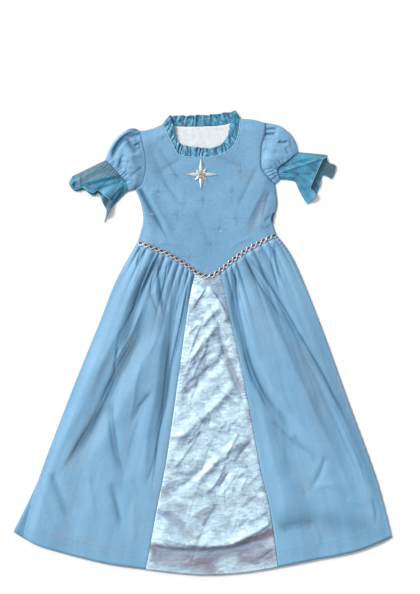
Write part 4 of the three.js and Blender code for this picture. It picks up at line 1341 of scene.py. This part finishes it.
# A flattened tube's way round: share across it, and which side is up
def tubeSection(around):
    return 0.5 - 0.5 * np.cos(2 * math.pi * around), np.sin(2 * math.pi * around)


# The upper and lower layer meet in two rounded edges
def tubeHeight(turn, upper, edge, least, swell=0.0):
    rounding = np.abs(turn) ** 0.35
    lower = edge * (1 - rounding) + least + swell * rounding
    return np.where(turn >= 0, edge + (upper - edge) * rounding, lower)


# Puff sleeves
puff = {
    "cells": (300, 64),
    "edge": 1.8,  # height of the folded long edges
    "least": 0.62,
    "foldHeight": 3.6,
    "foldGain": 1.25,
    "endHeight": 6,
    "elasticBand": 0.09,
    "left": {
        "height": 6.0,
        "gathers": 25,
        "drawn": 0.4,
        "band": 0.7,
        "ticks": {"count": 15, "from": 0.0, "inward": 1},
        "flat": (0.30, 0.105),
        "area": 0.0235,
    },
    "right": {
        "height": 4.2,
        "gathers": 21,
        "drawn": 0.2,
        "band": 0.0,
        "ticks": {"count": 7, "from": 0.45, "inward": -1},
        "flat": (0.28, 0.10),
        "area": 0.0200,
    },
    "shade": {
        "left": [
            (-124, 472, -189, 476, -200, 404, 1.5, 2.6, 2.4),
            (-146, 468, -174, 462, -190, 436, 0.35, 6, 5),
            (-168, 480, -154, 483, -140, 478, 0.8, 2.4, 2.4),
            (-168, 464, -158, 444, -136, 430, 0.5, 6, 6),
            (-152, 446, -143, 447, -135, 450, 0.8, 2.2, 2.4),
            (-180, 422, -180, 402, -192, 394, 0.55, 2.2, 2.2),
            (-168, 392, -150, 400, -134, 396, 0.2, 3, 4),
        ],
        "right": [
            (138, 482, 150, 484, 164, 481, 0.7, 2.4, 2.6),
            (137, 470, 148, 472, 160, 471, 0.8, 2.4, 2.8),
            (160, 452, 176, 451, 192, 456, 0.95, 1.7, 1.7),
            (180, 442, 184, 430, 192, 426, 0.3, 2, 2),
        ],
    },
    "folds": {
        "left": [
            (-134, 472, -188, 476, -201, 408, -7.6, 6, 6.5),
            (-140, 481, -188, 480, -208, 416, 2.6, 6, 6),
            (-138, 469, -148, 468, -158, 466, -2.0, 3, 4),
            (-144, 462, -172, 456, -188, 420, 1.6, 9, 6),
            (-130, 480, -148, 482, -164, 478, -1.8, 4, 4),
            (-164, 464, -158, 440, -140, 426, -3.4, 8, 9),
            (-154, 460, -146, 446, -136, 440, 2.0, 5, 6),
            (-134, 453, -142, 449, -150, 442, -1.8, 4, 4),
            (-182, 388, -184, 412, -170, 428, -2.6, 8, 5),
            (-176, 392, -180, 400, -176, 414, -2.0, 4, 6),
            (-166, 376, -170, 396, -160, 414, -1.3, 6, 6),
            (-130, 398, -146, 388, -160, 372, -1.4, 5, 6),
            (-132, 426, -146, 420, -160, 424, 1.0, 8, 8),
        ],
        "right": [
            (138, 480, 154, 483, 170, 484, -2.6, 4, 5),
            (136, 470, 150, 471, 166, 472, -3.2, 4, 5),
            (168, 455, 178, 448, 189, 454, -2.6, 4, 4),
            (184, 442, 184, 434, 190, 424, -1.2, 4, 5),
            (134, 391, 146, 392, 158, 397, -1.4, 3, 4),
            (139, 384, 150, 386, 162, 392, -1.7, 3, 4),
            (144, 377, 154, 380, 164, 388, -1.8, 3, 4),
            (150, 369, 158, 372, 167, 381, -2.0, 3, 4),
            (136, 440, 150, 428, 166, 426, -1.2, 7, 8),
            (134, 416, 150, 410, 168, 416, 1.0, 9, 9),
            (196, 466, 190, 452, 200, 436, -1.2, 5, 5),
        ],
    },
}


# Short gathers that run into the sleeve from its elastic
def elasticTicks(spec, elastic, seed):
    draw = random.Random(seed)
    rows = []
    for k in range(spec["count"]):
        share = (k + draw.uniform(0.2, 0.8)) / spec["count"]
        share = spec["from"] + (1 - spec["from"]) * share
        x, y = elastic(np.array(share))
        aheadX, aheadY = elastic(np.array(min(1, share + 0.03))) - elastic(np.array(share - 0.03))
        long = math.hypot(aheadX, aheadY) * spec["inward"]
        inX, inY = -aheadY / long, aheadX / long
        reach = draw.uniform(9, 17)
        rise = -draw.uniform(1.3, 2.6)
        start = (x - 2 * inX, y - 2 * inY)
        bend = draw.uniform(-2, 2)
        middle = (x + inX * reach / 2 + bend * inY, y + inY * reach / 2 - bend * inX)
        rows.append((*start, *middle, x + inX * reach, y + inY * reach, rise, 2.0, 3.4))
    return rows


def makeSleeve(side, armhole, elastic, outer):
    spec = puff[side]
    start = reversedSeam(seams[armhole])
    end = seams[elastic]
    ends = [curve(np.array(1.0)) for curve in (start, end)]
    plan = patch(start, end, seams[outer], straight(ends[0], ends[1]))
    ticks = elasticTicks(spec["ticks"], end, 51)

    def shape(around, w):
        s, turn = tubeSection(around)
        flat = plan(s, w)
        x, y = flat[:, 0], flat[:, 1]
        dome = np.sin(math.pi * s) ** 0.6
        across = np.linspace(0, 1, 200)
        line = start(across)
        seamTop = np.interp(s, across, bodiceTop(line[:, 0], line[:, 1]))
        high = spec["height"] * np.sin(math.pi * np.clip(0.12 + 0.8 * w, 0, 1)) ** 0.8
        high += puff["endHeight"] - 3 * w
        sway = unevenness(x, y, 40, 42)
        drawn = np.cos(2 * math.pi * spec["gathers"] * s + 3.2 * sway)
        drawn *= spec["drawn"] * (0.7 + 0.5 * sway) * near(1 - w, 0.13, 1.3)
        band = spec["band"] * near(1 - w - puff["elasticBand"], 0.025)
        rumple = 0.9 * unevenness(x, y, 34, 41) + 0.35 * unevenness(x, y, 11, 43)
        upper = puff["foldHeight"] + dome * (high + rumple)
        upper = seamTop + (upper - seamTop) * smooth(w, -0.05, 0.42)
        upper -= dome * (drawn + band)
        upper += foldSum(ticks, x, y, "tick") * dome
        inner = puff["foldGain"] * smooth(np.minimum(s, 1 - s), 0, 0.05)
        upper += foldSum(puff["folds"][side], x, y, "puff") * inner
        upper = np.maximum(upper, puff["edge"])
        return np.column_stack([flat, tubeHeight(turn, upper, puff["edge"], puff["least"])])

    name, cut = "puff_sleeve_" + side, spec["flat"]
    piece = clothSheet(name, puff["cells"], shape, paints["sleeve"], cut, body["cloth"], tube=True)

    def shade(x, y):
        tone = creaseShade(puff["folds"][side] + ticks, x, y, 10, 0.6)
        return tone + strokes(puff["shade"][side], x, y) + seamShade([armhole], x, y, 0.6)

    tint(piece, "shade", shade)
    sew(piece, "sleeve_" + side)


makeSleeve("left", "armholeLeft", "elasticLeft", "sleeveTopLeft")
makeSleeve("right", "armholeRight", "elasticRight", "sleeveTopRight")
print("sleeves made")


# Organza flounces below the elastic: the upper layer ends short of the lower one
flounce = {
    "cells": (240, 54),
    "foldHeight": 2.6,
    "edge": 1.3,
    "least": 0.3,
    "height": 5.0,
    "pulls": 17,
    "flat": (0.40, 0.085),
    "area": 0.020,
    "cloth": 0.25,
    "left": {
        "upperHem": [(-286, 378), (-290, 362), (-279, 348), (-264, 353), (-252, 346), (-240, 341)]
        + [(-229, 346), (-214, 335), (-203, 326), (-198, 317), (-207, 300), (-216, 277)],
        "innerEdge": [(-172, 338), (-194, 315), (-206, 299)],
        "shade": [
            (-172, 368, -194, 384, -222, 412, 0.5, 9, 10),
            (-170, 350, -186, 332, -206, 300, 0.2, 6, 6),
        ],
        "foldGain": 1.4,
        "wave": 2.6,
        "waves": 4,
        "turnUp": 3.0,
        "folds": [
            (-180, 378, -220, 380, -272, 356, 1.8, 5, 9),
            (-176, 368, -206, 356, -232, 348, -1.8, 4, 8),
            (-172, 360, -192, 342, -206, 322, 1.8, 5, 5),
            (-184, 372, -230, 366, -262, 352, -1.2, 6, 6),
            (-262, 384, -280, 376, -284, 356, 1.6, 4, 5),
            (-170, 352, -184, 334, -200, 314, -1.4, 4, 5),
            (-279, 382, -283, 366, -279, 346, -1.8, 3, 3),
            (-268, 384, -271, 366, -266, 348, 1.5, 3, 4),
            (-246, 360, -222, 372, -186, 378, 1.3, 4, 6),
        ],
        "sheerLine": ([-292, -266, -211, -182, -160], [350, 360, 378, 377, 380]),
        "sheerPast": 900,
        "sheerFrom": (-284, -268),
    },
    "right": {
        "upperHem": [(273, 425), (270, 418), (264, 413), (257, 398), (249, 380), (240, 360)]
        + [(238, 351), (245, 344), (248, 336), (241, 326), (230, 317)],
        "innerEdge": [(187, 369.5), (203, 366), (211, 350), (221, 331)],
        "shade": [
            (160, 384, 184, 402, 216, 434, 0.3, 5, 5),
            (216, 356, 222, 346, 236, 330, 0.25, 5, 5),
        ],
        "foldGain": 1.5,
        "wave": 1.6,
        "waves": 3,
        "turnUp": 2.4,
        "folds": [
            (166, 385, 222, 402, 268, 418, 1.9, 5, 6),
            (178, 384, 218, 388, 236, 354, -2.2, 5, 5),
            (202, 366, 222, 352, 232, 330, 1.7, 5, 6),
            (190, 402, 222, 420, 262, 420, 1.2, 6, 9),
            (176, 398, 206, 410, 244, 410, -1.2, 5, 6),
            (208, 384, 224, 380, 246, 382, -1.1, 4, 5),
        ],
        "sheerLine": ([170, 205, 235, 273, 300], [440, 431, 424, 418, 416]),
        "sheerPast": 270,
        "sheerFrom": (-901, -900),
    },
}


# A round thread along a line
def tubeAlong(name, points, radius, paint, sides=6, closed=False):
    curve = bpy.data.curves.new(name, "CURVE")
    curve.dimensions = "3D"
    curve.bevel_depth = radius * mm
    curve.bevel_resolution = max(0, sides // 2 - 2)
    curve.use_fill_caps = not closed
    spline = curve.splines.new("POLY")
    spline.points.add(len(points) - 1)
    for knot, point in zip(spline.points, points):
        knot.co = (*placed(*point), 1)
    spline.use_cyclic_u = closed
    shell = linked(name, curve)
    bpy.context.view_layer.update()
    mesh = bpy.data.meshes.new_from_object(shell)
    bpy.data.objects.remove(shell)
    for polygon in mesh.polygons:
        polygon.use_smooth = True
    mesh.materials.clear()
    mesh.materials.append(paint)
    return linked(name, mesh)


def flouncePlan(start, end, innerEdge):
    outer = straight(start(np.array(0.0)), end(np.array(0.0)))
    inner = seam([start(np.array(1.0)), *innerEdge, end(np.array(1.0))])
    return patch(start, end, outer, inner)


def flounceShape(side, elastic, hem):
    spec = flounce[side]
    under = flouncePlan(seams[elastic], seams[hem], spec["innerEdge"])
    over = flouncePlan(seams[elastic], seam(spec["upperHem"]), spec["innerEdge"])

    def shape(around, w):
        s, turn = tubeSection(around)
        flat = np.where((turn >= 0)[:, None], over(s, w), under(s, w))
        x, y = flat[:, 0], flat[:, 1]
        sway = 0.8 * np.sin(5 * s + 2.2 * w)
        wave = 0.5 - 0.5 * np.cos(2 * math.pi * spec["waves"] * s + sway)
        low = 0.5 - 0.5 * np.cos(2 * math.pi * (spec["waves"] + 2) * s + 1.3)
        shoulder = smooth(np.minimum(s, 1 - s), 0, 0.12)
        upper = flounce["height"] * (0.3 + 0.7 * smooth(w, 0, 0.4)) + w * wave * spec["wave"]
        pull = np.sin(2 * math.pi * flounce["pulls"] * s + 2 * unevenness(x, y, 30, 44))
        upper += 0.6 * pull * smooth(w, 0, 0.08) * near(w, 0.35)
        upper += spec["foldGain"] * foldSum(spec["folds"], x, y, "flounce")
        upper += spec["turnUp"] * near(1 - w, 0.07) * (wave - 0.3)
        upper = flounce["foldHeight"] + shoulder * np.maximum(upper, 0.8)
        swell = 1.6 * low * w * shoulder
        height = tubeHeight(turn, upper, flounce["edge"], flounce["least"], swell)
        return np.column_stack([flat, height])

    return shape


def makeFlounce(side, elastic, hem):
    spec = flounce[side]
    shape = flounceShape(side, elastic, hem)
    name, cut = "flounce_" + side, flounce["flat"]
    cloth, inside = paints["organza"], paints["organzaShadedInside"]
    piece = clothSheet(name, flounce["cells"], shape, cloth, cut, flounce["cloth"], inside, tube=True)

    def sheer(x, y):
        line = np.interp(x, *spec["sheerLine"])
        tone = np.maximum(smooth(y - line, -2, 3), smooth(x - spec["sheerPast"], 0, 4))
        return tone * smooth(x, *spec["sheerFrom"])

    tint(piece, "sheer", sheer)
    tint(piece, "shade", lambda x, y: creaseShade(spec["folds"], x, y, 2.6) + strokes(spec["shade"], x, y))
    sew(piece, "cuff_" + side)
    around = np.linspace(0, 1, 480, endpoint=False)
    rim = shape(around, np.full(around.shape, 0.997))
    rim[:, 2] = np.maximum(rim[:, 2], 0.6)
    dress(tubeAlong("overlock_" + side, rim, 0.6, paints["edge"], closed=True))


makeFlounce("left", "elasticLeft", "flounceHemLeft")
makeFlounce("right", "elasticRight", "flounceHemRight")
print("flounces made")


# Gathered frill round the neck
frill = {
    "front": {
        "waves": 20,
        "rise": 4.4,
        "lap": 2.2,
        "cells": (540, 14),
        "flat": (0.38, 0.026),
        "area": 0.0085,
    },
    "back": {
        "waves": 12,
        "rise": 3.4,
        "lap": 1.8,
        "cells": (260, 12),
        "flat": (0.24, 0.024),
        "area": 0.0052,
    },
    "cloth": 0.3,
}


# Uneven ruffles: u runs along the seam, v from the seam to the free edge
def ruffle(spec, u, v, seed):
    draw = random.Random(seed)
    shares = [draw.uniform(0.25, 2.0) for _ in range(spec["waves"])]
    ends = np.concatenate([[0], np.cumsum(shares)]) / sum(shares)
    phase = 2 * math.pi * np.interp(u, ends, np.arange(spec["waves"] + 1))
    phase += 1.5 * v * np.sin(23 * u) + 0.9 * np.sin(5 * v + 41 * u)
    size = 0.78 + 0.34 * np.sin(31 * u + 0.7) + 0.22 * np.sin(77 * u)
    lift = spec["rise"] * (0.25 + 0.75 * v) * (0.5 - 0.5 * np.cos(phase)) * size
    return lift, spec["lap"] * v * np.sin(phase + 0.6) * size, 1.1 * v * np.cos(phase * 0.5) * size


# A line's own direction, and the one to its left
def courseOf(ahead):
    ahead = ahead / np.hypot(*ahead.T)[:, None]
    return ahead, np.stack([-ahead[:, 1], ahead[:, 0]], -1)


def makeFrill(side, shape):
    spec = frill[side]
    name, cells, cut = "frill_" + side, spec["cells"], spec["flat"]
    piece = clothSheet(name, cells, shape, paints["frill"], cut, frill["cloth"])
    sew(piece, "neck_frill_" + side)


def makeFrontFrill():
    spec = frill["front"]
    start, end = seams["neckFront"], seams["frillFrontFree"]

    def shape(u, v):
        lift, side, reach = ruffle(spec, u, v, 7)
        near, free = start(u), end(u)
        away, beside = courseOf(free - near)
        flat = near + (free - near) * (v - 0.03)[:, None] + away * reach[:, None] + beside * side[:, None]
        crossing = 1 - smooth(np.minimum(u, 1 - u), 0.1, 0.24)
        seamTop = bodiceTop(near[:, 0], near[:, 1]) - 0.6
        freeTop = body["rest"] + 1.1 + crossing * 3.2
        return np.column_stack([flat, seamTop + (freeTop - seamTop) * v + lift])

    makeFrill("front", shape)


def makeBackFrill():
    spec = frill["back"]
    start, end = seams["neckBack"], seams["frillBackFree"]

    def shape(u, v):
        lift, side, reach = ruffle(spec, u, v, 8)
        near, free = start(u), end(u)
        flat = near + (free - near) * (v - 0.02)[:, None]
        flat[:, 0] += side
        flat[:, 1] += reach
        return np.column_stack([flat, 0.5 + 0.6 * (1 - v) + lift])

    makeFrill("back", shape)


# A rolled edge along the front neck, coloured paler than the cloth as a painted highlight
def makeNeckEdgeHighlight():
    share = np.linspace(0.005, 0.995, 200)
    line = seams["neckFront"](share)
    top = bodiceTop(line[:, 0], line[:, 1]) + 0.5
    dress(tubeAlong("neck_edge_highlight", np.column_stack([line, top]), 1.0, paints["neckEdgeHighlight"], 8))


makeFrontFrill()
makeBackFrill()
makeNeckEdgeHighlight()
print("neck frill made")


# Plaited braid along the pointed waist
braid = {
    "width": 9.8,
    "link": 25,
    "strands": 2,
    "strand": 0.85,
    "beside": 0.8,
    "weaveHeight": 0.9,
    "gapShadeApart": 2.2,
    "steps": 520,
}


def waistFrame(share, step=0.003):
    near, far = [seams["waistFront"](np.clip(share + move, 0, 1)) for move in (-step, step)]
    return seams["waistFront"](share), courseOf(far - near)[1]


def makeBraid():
    share = np.linspace(0.004, 0.996, braid["steps"])
    line, across = waistFrame(share)
    length = np.concatenate([[0], np.cumsum(np.hypot(*np.diff(line, axis=0).T))])
    strands = []
    for k in range(braid["strands"]):
        phase = 2 * math.pi * (length / braid["link"] + k / braid["strands"])
        reach = braid["width"] / 2 - braid["strand"]
        flat = line + across * (reach * np.sin(phase))[:, None]
        top = frontTop(*flat.T) + braid["strand"] + 0.6 + braid["weaveHeight"] * (1 + np.cos(phase))
        for beside in (-braid["beside"], braid["beside"]):
            course = np.column_stack([flat + across * beside, top])
            strands.append(tubeAlong("strand", course, braid["strand"], paints["braid"], 8))
    # three dark tubes under the strands: painted shade in the braid's gaps
    base = []
    for side in (-1, 0, 1):
        flat = line + across * (side * braid["gapShadeApart"])
        course = np.column_stack([flat, frontTop(*flat.T) + 0.4])
        base.append(tubeAlong("base", course, 1.2, paints["braidGapShade"]))
    dress(joinPieces("braid_gap_shade", base))
    dress(joinPieces("braid", strands), "waist_braid")


def joinPieces(name, parts):
    bm = bmesh.new()
    paint = parts[0].data.materials[0]
    for part in parts:
        bm.from_mesh(part.data)
        bpy.data.objects.remove(part)
    return pieceOf(name, bm, paint)


makeBraid()
print("braid made")


# Dark lines of painted shade along the armhole and elastic seams and in a side seam gap, and the stitches
# above the hems
seamLook = {
    "armhole": 0.7,
    "elastic": 0.6,
    "stitch": 0.4,
    "satinHem": 9,
    "dash": (4, 2),
    "hemEnds": {"left": (0.06, 0.985), "right": (0.01, 0.94)},
    "gap": [(157, 297), (153.4, 289), (152.2, 283), (153.6, 277)],
}


def aboveHem(name, height, start, end):
    line = seams[name](np.linspace(start, end, 260))
    return line + courseOf(np.gradient(line, axis=0))[1] * height


def makeSeamLines():
    share = np.linspace(0.01, 0.99, 120)
    front, dash, thread = made["bodice_front"], seamLook["dash"], seamLook["stitch"]
    dark = paints["seamShade"]
    for side, end in (("left", "Left"), ("right", "Right")):
        sleeve = made["puff_sleeve_" + side]
        armhole, elastic = seams["armhole" + end](share), seams["elastic" + end](share)
        # painted shade along the armhole and elastic seams, as dark tubes
        layLine("armhole_seam_shade_" + side, [front, sleeve], armhole, -0.1, seamLook["armhole"], dark)
        flounced = [sleeve, made["flounce_" + side]]
        layLine("elastic_seam_shade_" + side, flounced, elastic, -0.2, seamLook["elastic"], dark)
        hem = aboveHem("hem" + end, skirt["hemBand"], *seamLook["hemEnds"][side])
        layLine("hem_stitches_" + side, [made["skirt_" + side]], hem, 0, thread, paints["stitch"], dash=dash)
    hem = aboveHem("hemCentre", seamLook["satinHem"], 0.01, 0.99)
    satinThread = paints["satinStitch"]
    layLine("satin_stitches", [made["satin_panel"]], hem, 0, thread, satinThread, dash)
    # a dark tube of painted shade in a small gap of the side seam
    gap = seam(seamLook["gap"])(np.linspace(0, 1, 16))
    layLine("side_seam_gap_shade", [front], gap, -0.6, 2.5, paints["gap"])


makeSeamLines()
print("seam lines and stitches made")


# Eight-pointed star with a glitter disc
starLook = {
    "edge": 0.9,
    "fuller": 0.6,
    "ridge": 1.7,
    "lift": 0.45,
    "disc": 9.5,
    "discHeight": 1.6,
    "discDrop": 0.9,
    "flakes": 150,
    "flake": 0.75,
    "turn": 2.39996,  # golden angle between one flake and the next
}


def clothUnder(x, y):
    return frontTop(np.array([x]), np.array([y]), bodice["creases"])[0]


def makeStar():
    bm = bmesh.new()
    bmesh.ops.create_circle(bm, segments=16, radius=1, cap_ends=True, cap_tris=True)
    lengths = ["right", "diagonal", "up", "diagonal", "left", "diagonal", "down", "diagonal"]
    for vert in bm.verts:
        if vert.co.length < 0.5:
            continue
        k = round(math.atan2(vert.co.y, vert.co.x) / (math.pi / 8)) % 16
        reach = starPlan["notch"] if k % 2 else starPlan[lengths[k // 2]]
        angle = k * math.pi / 8
        vert.co = (reach * math.cos(angle), reach * math.sin(angle), 0)
    bmesh.ops.subdivide_edges(bm, edges=bm.edges[:], cuts=2, use_grid_fill=True)
    for vert in bm.verts:
        x, y = vert.co.x, vert.co.y
        angle = math.atan2(y, x)
        k = round(angle / (math.pi / 4))
        reach = starPlan[lengths[k % 8]]
        radius = math.hypot(x, y)
        beside = abs(math.sin(angle - k * math.pi / 4)) * radius
        along = math.cos(angle - k * math.pi / 4) * radius
        half = max(0.4, starPlan["notch"] * 0.38 * (1 - along / reach))
        ridge = max(0.0, 1 - beside / (half * 1.6)) * (1 - 0.6 * radius / reach)
        z = clothUnder(starPlan["x"] + x, starPlan["y"] + y) + starLook["lift"] + starLook["edge"]
        fuller = 0 if k % 2 else starLook["fuller"] * float(smooth(along / reach, 0.26, 0.55))
        push = math.sin(angle - k * math.pi / 4) * radius * fuller
        x -= push * math.sin(k * math.pi / 4)
        y += push * math.cos(k * math.pi / 4)
        vert.co = placed(starPlan["x"] + x, starPlan["y"] + y, z + starLook["ridge"] * ridge)
    piece = thickPiece("star", bm, paints["star"], starLook["edge"])
    dress(piece, "star_applique")


def makeStarDisc():
    base = clothUnder(starPlan["x"], starPlan["y"])
    base += starLook["lift"] + starLook["edge"] + starLook["ridge"]
    bm = bmesh.new()
    bmesh.ops.create_uvsphere(bm, u_segments=28, v_segments=14, radius=1)
    for vert in bm.verts:
        radius = math.hypot(vert.co.x, vert.co.y)
        wobble = 1 + 0.05 * math.sin(7 * math.atan2(vert.co.y, vert.co.x))
        x = starPlan["x"] + starLook["disc"] * vert.co.x * wobble
        y = starPlan["y"] + starLook["disc"] * vert.co.y * wobble
        z = base + starLook["discHeight"] * max(vert.co.z, 0) - starLook["discDrop"] * min(1, radius)
        vert.co = placed(x, y, z)
    draw = random.Random(3)
    for k in range(starLook["flakes"]):
        share = (k + 0.5) / starLook["flakes"]
        radius = math.sqrt(share) * 0.96
        angle = k * starLook["turn"]
        x = starPlan["x"] + starLook["disc"] * radius * math.cos(angle)
        y = starPlan["y"] + starLook["disc"] * radius * math.sin(angle)
        z = base + starLook["discHeight"] * math.sqrt(1 - radius**2) - starLook["discDrop"] * radius + 0.15
        tilt = Matrix.Rotation(draw.uniform(0, 3.1), 4, "Z")
        tilt = tilt @ Matrix.Rotation(draw.uniform(-0.6, 0.6), 4, "X")
        place = Matrix.Translation(placed(x, y, z)) @ tilt
        size = starLook["flake"] * draw.uniform(0.7, 1.25) * mm
        scale = Matrix.Diagonal((size, size, size * 0.35, 1))
        bmesh.ops.create_icosphere(bm, subdivisions=1, radius=1, matrix=place @ scale)
    dress(pieceOf("star_disc", bm, paints["glitter"]), "star_centre")


makeStar()
makeStarDisc()
print("star made")
